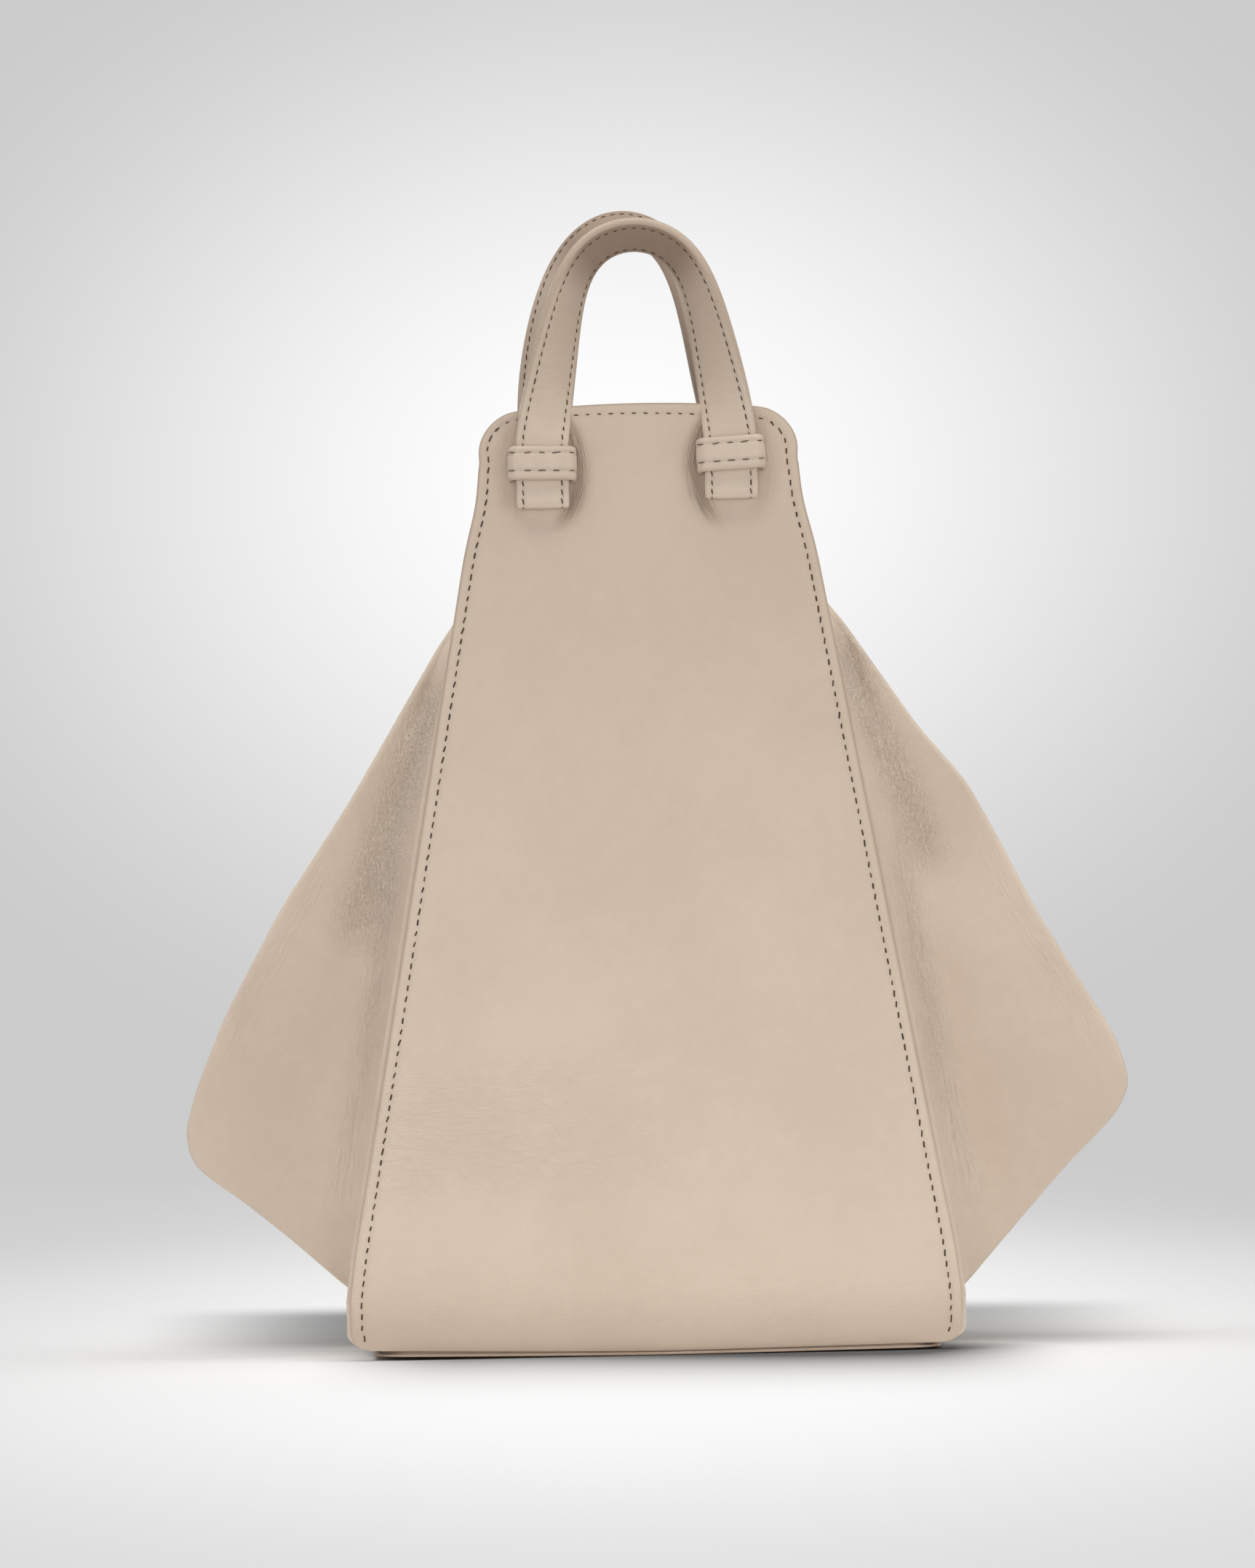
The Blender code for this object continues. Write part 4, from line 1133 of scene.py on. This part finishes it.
KEEPER_PLUMP = 0.00028
KEEPER_DENT = (0.00030, 0.0006)    # depth and width of the dent along a row of stitches
KEEPER_SEAM = 0.0008
KEEPER_FOLD = 0.0025
KEEPER_FLAT = 0.0012       # the rows end this far from the band's sides
SEWN_ON = 0.0001


def faced_outwards(piece):
    """A closed piece, after its faces are turned to look outwards."""
    form = bmesh.new()
    form.from_mesh(piece.data)
    bmesh.ops.recalc_face_normals(form, faces=form.faces)
    form.to_mesh(piece.data)
    form.free()
    return piece


def sweep(name, path, across, face, section, material, masks, side):
    """A closed piece with a section, (across, face) pairs for each ring, along a path."""
    grid = path[:, None] + section[..., 0:1] * across[:, None] + section[..., 1:2] * face[:, None]
    return settle(faced_outwards(skin(name, grid, [material], masks, side, closed=True)), sharp=60)


def panel_frame(place):
    """Origin and directions of a keeper's place on the front wall: its middle, up and out."""
    slope = float(lean(place["z"]))
    middle = np.array([place["x"], -float(half_depth(place["z"])), place["z"]])
    return middle, np.array([0, math.sin(slope), math.cos(slope)]), np.array(
        [0, -math.cos(slope), math.sin(slope)])


# Shade is painted along the dents of its rows of stitches, at its rims and into the creases at its folds.
plump_leather = leather("plump_keeper_leather", KEEPER_LIGHT, KEEPER_DARK, [("", 1500.0, 0.000012, 0.035)],
                        [("fold", (420, 60, 60), 0.00008, 0.06)], shade={"seam": 0.14, "rim": 0.50})

half_x = STRAP_W / 2 + KEEPER_SLACK + KEEPER_WALL / 2
top_out = 2 * END_LEAF + 3 * GAP + KEEPER_WALL / 2
bend_r = KEEPER_ROUND + KEEPER_WALL / 2
turn = np.linspace(0, math.pi / 2, KEEPER_STEPS[0])
bow = np.stack([half_x - bend_r + bend_r * np.cos(turn), top_out - bend_r + bend_r * np.sin(turn)], -1)
band = np.concatenate([[(half_x, GAP)], bow])
band = resampled(np.concatenate([band, (band * [-1, 1])[::-1]]), KEEPER_STEP)[0]
band_run = unit(np.gradient(band, axis=0))
flat = np.abs(band[:, 0]) < half_x - KEEPER_FLAT
rise = np.linspace(-1, 1, KEEPER_STEPS[1])
rise_z = rise * KEEPER_TALL / 2
plump = KEEPER_PLUMP * (1 - np.abs(rise) ** 3)
for row_at in KEEPER_ROWS:
    plump = plump - KEEPER_DENT[0] * bell(rise_z, row_at, KEEPER_DENT[1])
edge_round = KEEPER_WALL / 2 * np.sqrt(1 - np.abs(rise) ** KEEPER_SQUARENESS)
front_side = np.stack([rise_z, edge_round + plump], -1)
back_side = np.stack([rise_z, -edge_round], -1)[-2:0:-1]
band_section = np.concatenate([front_side, back_side])
row_shade = np.max([bell(rise_z, row_at, KEEPER_SEAM) for row_at in KEEPER_ROWS], 0)
band_masks = {
    "seam": np.tile(np.concatenate([row_shade, np.zeros(len(back_side))]), (len(band), 1)),
    "rim": np.tile(np.abs(band_section[:, 0] / rise_z[-1]) ** KEEPER_RIM, (len(band), 1)),
    "fold": np.repeat(bell(np.abs(band[:, :1]), half_x, KEEPER_FOLD), len(band_section), 1),
}
for side, word in ((-1, "front"), (1, "back")):
    for hand, place in KEEPERS.items():
        middle, upward, outward = panel_frame(place)
        tilt = place["turn"]
        aside = np.array([math.cos(tilt), 0, 0]) + upward * math.sin(tilt)
        length = upward * math.cos(tilt) - np.array([math.sin(tilt), 0, 0])
        path = middle + band[:, :1] * aside + band[:, 1:] * outward
        face = band_run[:, 1:] * aside - band_run[:, :1] * outward
        face = -face if (face[len(face) // 2] @ outward) < 0 else face
        named = hand if side < 0 else {"left": "right", "right": "left"}[hand]
        keeper = sweep(f"{word}_{named}_plump_keeper", path, np.tile(length, (len(path), 1)), face,
                       np.tile(band_section, (len(path), 1, 1)), plump_leather, band_masks, side)
        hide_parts(f"{word}_{named}_keeper")
        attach(keeper, "shell")
        lift = (KEEPER_WALL / 2 + SEWN_ON) * face
        seams = [((path + row_at * length + lift)[flat], face[flat]) for row_at in KEEPER_ROWS]
        row = sew(f"{word}_{named}_keeper_stitches", seams, KEEPER_STITCH, side)
        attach(row, "shell")

# Handles. Each is one doubled strap, stitched along both edges. Its ends pass down through
# the keepers, fold up behind themselves, and its middle turns its face down over the crown.
STRAP_T = 0.0032
HANDLES = {
    "front": {"rise": 0.0727, "shift": 0.0004, "draw": 0.055},
    "back": {"rise": 0.0766, "shift": 0.0048, "draw": 0.030},
}
HANDLE_LEAN = math.radians(12.0)
HANDLE_TWIST = math.radians(72.0)
TWIST_EARLY = 0.7          # below 1 the strap turns already on its legs
HINGE_OUT = 0.004
HANDLE_FOOT = (-0.028406, 0.308798)
END_DROP = 0.0154
STRAP_SEAM = 0.0066        # stitches from the strap's middle
STRAP_STITCH = {"pitch": 0.0032, "length": 0.0023, "thick": 0.00042, "slant": 7}
STRAP_LIGHT = (0.640, 0.522, 0.414, 1)
STRAP_DARK = (0.590, 0.476, 0.374, 1)
ARCH_START = 0.02
ARCH_STEPS = 220
STRAP_STEP = 0.0009
SMOOTHINGS = 3
END_RUN = (0.0055, 0.002)  # where a folded end starts behind the keeper and ends before it
END_STEPS = (14, 16)
OPEN_RUN = slice(16, -16)
STRAP_CROWN = 0.00010
STRAP_GROOVE = (0.00024, 0.00035)
STRAP_BACK_GROOVE = (0.00022, 0.0004)
STRAP_EDGE = (0.00055, 0.0079, 0.00105)    # depth, start and width of its rounded edges
STRAP_BACK_EDGE = (0.1, 0.72)      # shares of its half thickness at the back's outer points
STRAP_RIM = (0.0084, 0.0089)
STRAP_SUNK = 0.0006
THREAD_SUNK = 0.00008
PUCKER_OUT = 0.00010
PUCKER_WAVES = (3300, 2.4, 410)
PUCKER_RISE = (0.72, 0.95)
CROWN_SHADED = (0.70, 0.97)
LEG_SHADED = (0.02, 0.40)
LEG_CREASED = ((0.05, 0.12), (0.85, 0.4))

# Shade is painted over the crown, where the strap's face turns down, on its legs, and in its stitch grooves
# and creases; its rounded edges are darker.
strap_leather = leather(
    "strap_leather", STRAP_LIGHT, STRAP_DARK, [("", 1400.0, 0.000014, 0.035)],
    [("crown", (420, 150, 150), 0.00005, 0.04), ("fold", (140, 90, 700), 0.00004, 0.04)],
    shade={"seam": 0.10, "rim": 0.22, "leg": 0.26, "crown": 0.84}, rough=(0.54, 0.38))


def folded_end(place):
    """Middle of a strap's end from behind the keeper, round the fold, to the keeper's top."""
    middle, upward, outward = panel_frame(place)
    back_out = GAP + END_LEAF / 2
    front_out = GAP + END_LEAF * 1.5 + GAP / 2
    fold_r = (front_out - back_out) / 2
    fold_up = fold_r + END_LEAF / 2 - END_DROP / math.cos(float(lean(place["z"])))
    turn = np.linspace(math.pi, math.tau, END_STEPS[0])
    behind = np.linspace(END_RUN[0], fold_up, END_STEPS[0])[:-1]
    before = np.linspace(fold_up, END_RUN[1], END_STEPS[1])[1:]
    up = np.concatenate([behind, fold_up + fold_r * np.sin(turn), before])
    out = np.concatenate([np.full_like(behind, back_out), (back_out + front_out) / 2 + fold_r * np.cos(turn),
                          np.full_like(before, front_out)])
    return middle + up[:, None] * upward + out[:, None] * outward


def strap_path(handle_rise, shift, draw):
    """Middle, across and face directions, thickness, height and place along, right end to left."""
    hairpin, left = folded_end(KEEPERS["right"]), folded_end(KEEPERS["left"])[::-1]
    centre = (KEEPERS["right"]["x"] + KEEPERS["left"]["x"]) / 2
    half = (KEEPERS["right"]["x"] - KEEPERS["left"]["x"]) / 2
    angle = np.linspace(ARCH_START, math.pi - ARCH_START, ARCH_STEPS)
    crown = np.sin(angle)
    legs = half * (np.cos(angle) - draw * np.sin(4 * angle))
    local = np.stack([centre + legs + shift * (1 - (1 - crown) ** 3), np.full_like(angle, HINGE_OUT),
                      handle_rise * crown], -1)
    run = np.gradient(local, axis=0)
    level = unit(run[:, [2, 1, 0]] * [1, 0, -1])
    forward = np.array([0.0, -1.0, 0.0])
    twist = (HANDLE_TWIST * crown ** TWIST_EARLY)[:, None]
    back, tip = math.sin(HANDLE_LEAN), math.cos(HANDLE_LEAN)
    tilt = np.array([[1, 0, 0], [0, tip, -back], [0, back, tip]])
    across = (level * np.cos(twist) + forward * np.sin(twist)) @ tilt
    face = (forward * np.cos(twist) - level * np.sin(twist)) @ tilt
    arch = local @ tilt + [0, *HANDLE_FOOT]
    ends = np.repeat([[1.0, 0, 0]], len(hairpin), 0)
    end_face = np.cross(ends, unit(np.gradient(hairpin, axis=0)))
    thick = np.pad(np.full(ARCH_STEPS, STRAP_T), len(hairpin), constant_values=END_LEAF)
    made = np.concatenate([
        np.concatenate([hairpin, arch, left]), np.concatenate([ends, across, -ends]),
        np.concatenate([end_face, face, end_face[::-1]]),
        np.stack([thick, np.pad(crown, len(hairpin))], -1)], 1)
    made, even = resampled(made, STRAP_STEP)
    for _ in range(SMOOTHINGS):
        made[1:-1] = (made[:-2] + 2 * made[1:-1] + made[2:]) / 4
    across = unit(made[:, 3:6])
    face = made[:, 6:9] - across * (made[:, 6:9] * across).sum(1, keepdims=True)
    return made[:, :3], across, unit(face), made[:, 9], made[:, 10], even


# Places across a strap in millimetres, closest at its rounded edges and along its stitches.
half_strap = STRAP_W / 2
front_at = np.array([8.95, 8.75, 8.3, 7.6, 7.1, 6.85, 6.6, 6.35, 6.1, 5.4, 4.0, 2.0]) / 1000
front_at = np.concatenate([front_at, [0], -front_at[::-1]])
back_at = np.array([9.0, 8.95, 8.6, 7.2, 6.6, 6.0, 3.0]) / 1000
back_at = np.concatenate([-back_at, [0], back_at[::-1]])
at = np.concatenate([front_at, back_at])
edge_deep, edge_from, edge_wide = STRAP_EDGE
edge_drop = edge_deep * np.clip((np.abs(front_at) - edge_from) / edge_wide, 0, 1) ** 2
front_rise = STRAP_CROWN * (1 - (front_at / half_strap) ** 2) - edge_drop
front_rise = front_rise - STRAP_GROOVE[0] * bell(np.abs(front_at), STRAP_SEAM, STRAP_GROOVE[1])
back_dent = STRAP_BACK_GROOVE[0] * bell(np.abs(back_at), STRAP_SEAM, STRAP_BACK_GROOVE[1])
rim = ease(np.abs(at), *STRAP_RIM)
sunk = bell(np.abs(at), STRAP_SEAM, STRAP_SUNK)
tight, share, slow = PUCKER_WAVES
for side, word in ((-1, "front"), (1, "back")):
    path, across, face, thick, crown, even = strap_path(*HANDLES[word].values())
    half_t = thick[:, None] / 2
    pucker = PUCKER_OUT * np.sin(tight * even + share * np.sin(slow * even)) * ease(crown, *PUCKER_RISE)
    front_f = half_t + front_rise + pucker[:, None] * (1 - (front_at / half_strap) ** 4)
    back_f = back_dent - half_t
    back_f[:, [0, -1]] = -STRAP_BACK_EDGE[0] * half_t
    back_f[:, [1, -2]] = -STRAP_BACK_EDGE[1] * half_t
    section = np.concatenate([front_f, back_f], 1)
    section = np.stack([np.broadcast_to(at, section.shape), section], -1)
    masks = {
        "crown": ease(crown, *CROWN_SHADED)[:, None] * (1 - rim),
        "fold": np.repeat(within(crown, *LEG_CREASED)[:, None], len(at), 1),
        "leg": np.repeat(ease(crown, *LEG_SHADED)[:, None], len(at), 1),
        "seam": np.tile(sunk, (len(path), 1)),
        "rim": np.tile(rim, (len(path), 1)),
    }
    strap = sweep(f"{word}_strap", path, across, face, section, strap_leather, masks, side)
    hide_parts(f"{word}_handle", f"{word}_left_strap_end", f"{word}_right_strap_end")
    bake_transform(strap)
    seams = []
    for edge_at in (STRAP_SEAM, -STRAP_SEAM):
        for way in (1, -1):
            seam = path + edge_at * across + (half_t - THREAD_SUNK) * way * face
            seams.append((seam[OPEN_RUN], way * face[OPEN_RUN]))
    row = sew(f"{word}_strap_stitches", seams, STRAP_STITCH, side)
    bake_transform(row)

# Closure. A flat magnetic snap of brushed, nickel-plated brass: a socket on the front facing
# and a stud on the back one.
SNAP_R = 0.009
SNAP_T = 0.0022
SNAP_EDGE = 0.0004
SNAP_BORE = 0.0034
SNAP_FLOOR = 0.0006
STUD_R = 0.003
STUD_TALL = 0.0014
SNAP_Z = 0.300
METAL_LIGHT = (0.640, 0.600, 0.530, 1)
METAL_DARK = (0.480, 0.440, 0.380, 1)
SNAP_HOLE = 0.0002         # radius at which a profile starts and ends
SNAP_SOFT = 0.0002
SNAP_BEVEL = 0.0003
SNAP_FLANGE = [            # radius and height, from the top's ring round the edge to the foot
    (0.0060, SNAP_T), (0.0062, SNAP_T - SNAP_SOFT), (0.0066, SNAP_T - SNAP_SOFT), (0.0068, SNAP_T),
    (SNAP_R - SNAP_EDGE, SNAP_T), (SNAP_R - 0.0001, SNAP_T - 0.0001), (SNAP_R, SNAP_T - SNAP_EDGE),
    (SNAP_R, SNAP_SOFT), (SNAP_R - SNAP_SOFT, 0), (SNAP_HOLE, 0)]
SOCKET = [(SNAP_HOLE, SNAP_FLOOR), (SNAP_BORE - SNAP_BEVEL, SNAP_FLOOR), (SNAP_BORE, SNAP_FLOOR + SNAP_BEVEL),
          (SNAP_BORE, SNAP_T - SNAP_SOFT), (SNAP_BORE + SNAP_SOFT, SNAP_T)]
STUD_TOP = SNAP_T + STUD_TALL
STUD = [(SNAP_HOLE, STUD_TOP), (STUD_R - SNAP_BEVEL, STUD_TOP), (STUD_R, STUD_TOP - SNAP_BEVEL),
        (STUD_R, SNAP_T + SNAP_SOFT), (STUD_R + SNAP_SOFT, SNAP_T)]
METAL_ROUGH = (0.24, 0.40)
SNAP_STEPS = 56

brushed, tree, place = new_material("brushed_snap_metal")
scratch = grouped(tree, crease_lines, Place=place, Stretch=(300, 4000, 4000), Deep=0.000004)
dye = grouped(tree, uneven_dye_and_shade, Place=place, Light=METAL_LIGHT, Dark=METAL_DARK, Crease=METAL_DARK,
              Depth=scratch["Line"])
surfaced(brushed, dye["Colour"], scratch["Height"], ramp(dye["Patch"], *PATCH_ROUGH, *METAL_ROUGH),
         {"Metallic": 1.0})

turn = np.linspace(0, math.tau, SNAP_STEPS, endpoint=False)
slope = float(lean(SNAP_Z))
inward = np.array([0, math.cos(slope), -math.sin(slope)])
upward = np.array([0, math.sin(slope), math.cos(slope)])
seat = np.array([0, -float(half_depth(SNAP_Z)), SNAP_Z]) + (FACING_IN + FACING_T + GAP) * inward
ring = np.cos(turn)[:, None] * [1.0, 0, 0] + np.sin(turn)[:, None] * upward
for word, side, profile in (("socket", -1, SOCKET + SNAP_FLANGE), ("stud", 1, STUD + SNAP_FLANGE)):
    radius, tall = np.array(profile).T[:, :, None, None]
    snap = skin(f"{word}_of_snap", seat + radius * ring + tall * inward, [brushed], side=side, closed=True)
    settle(faced_outwards(snap), sharp=35)
    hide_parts(f"snap_{word}")
    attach(snap, "shell")
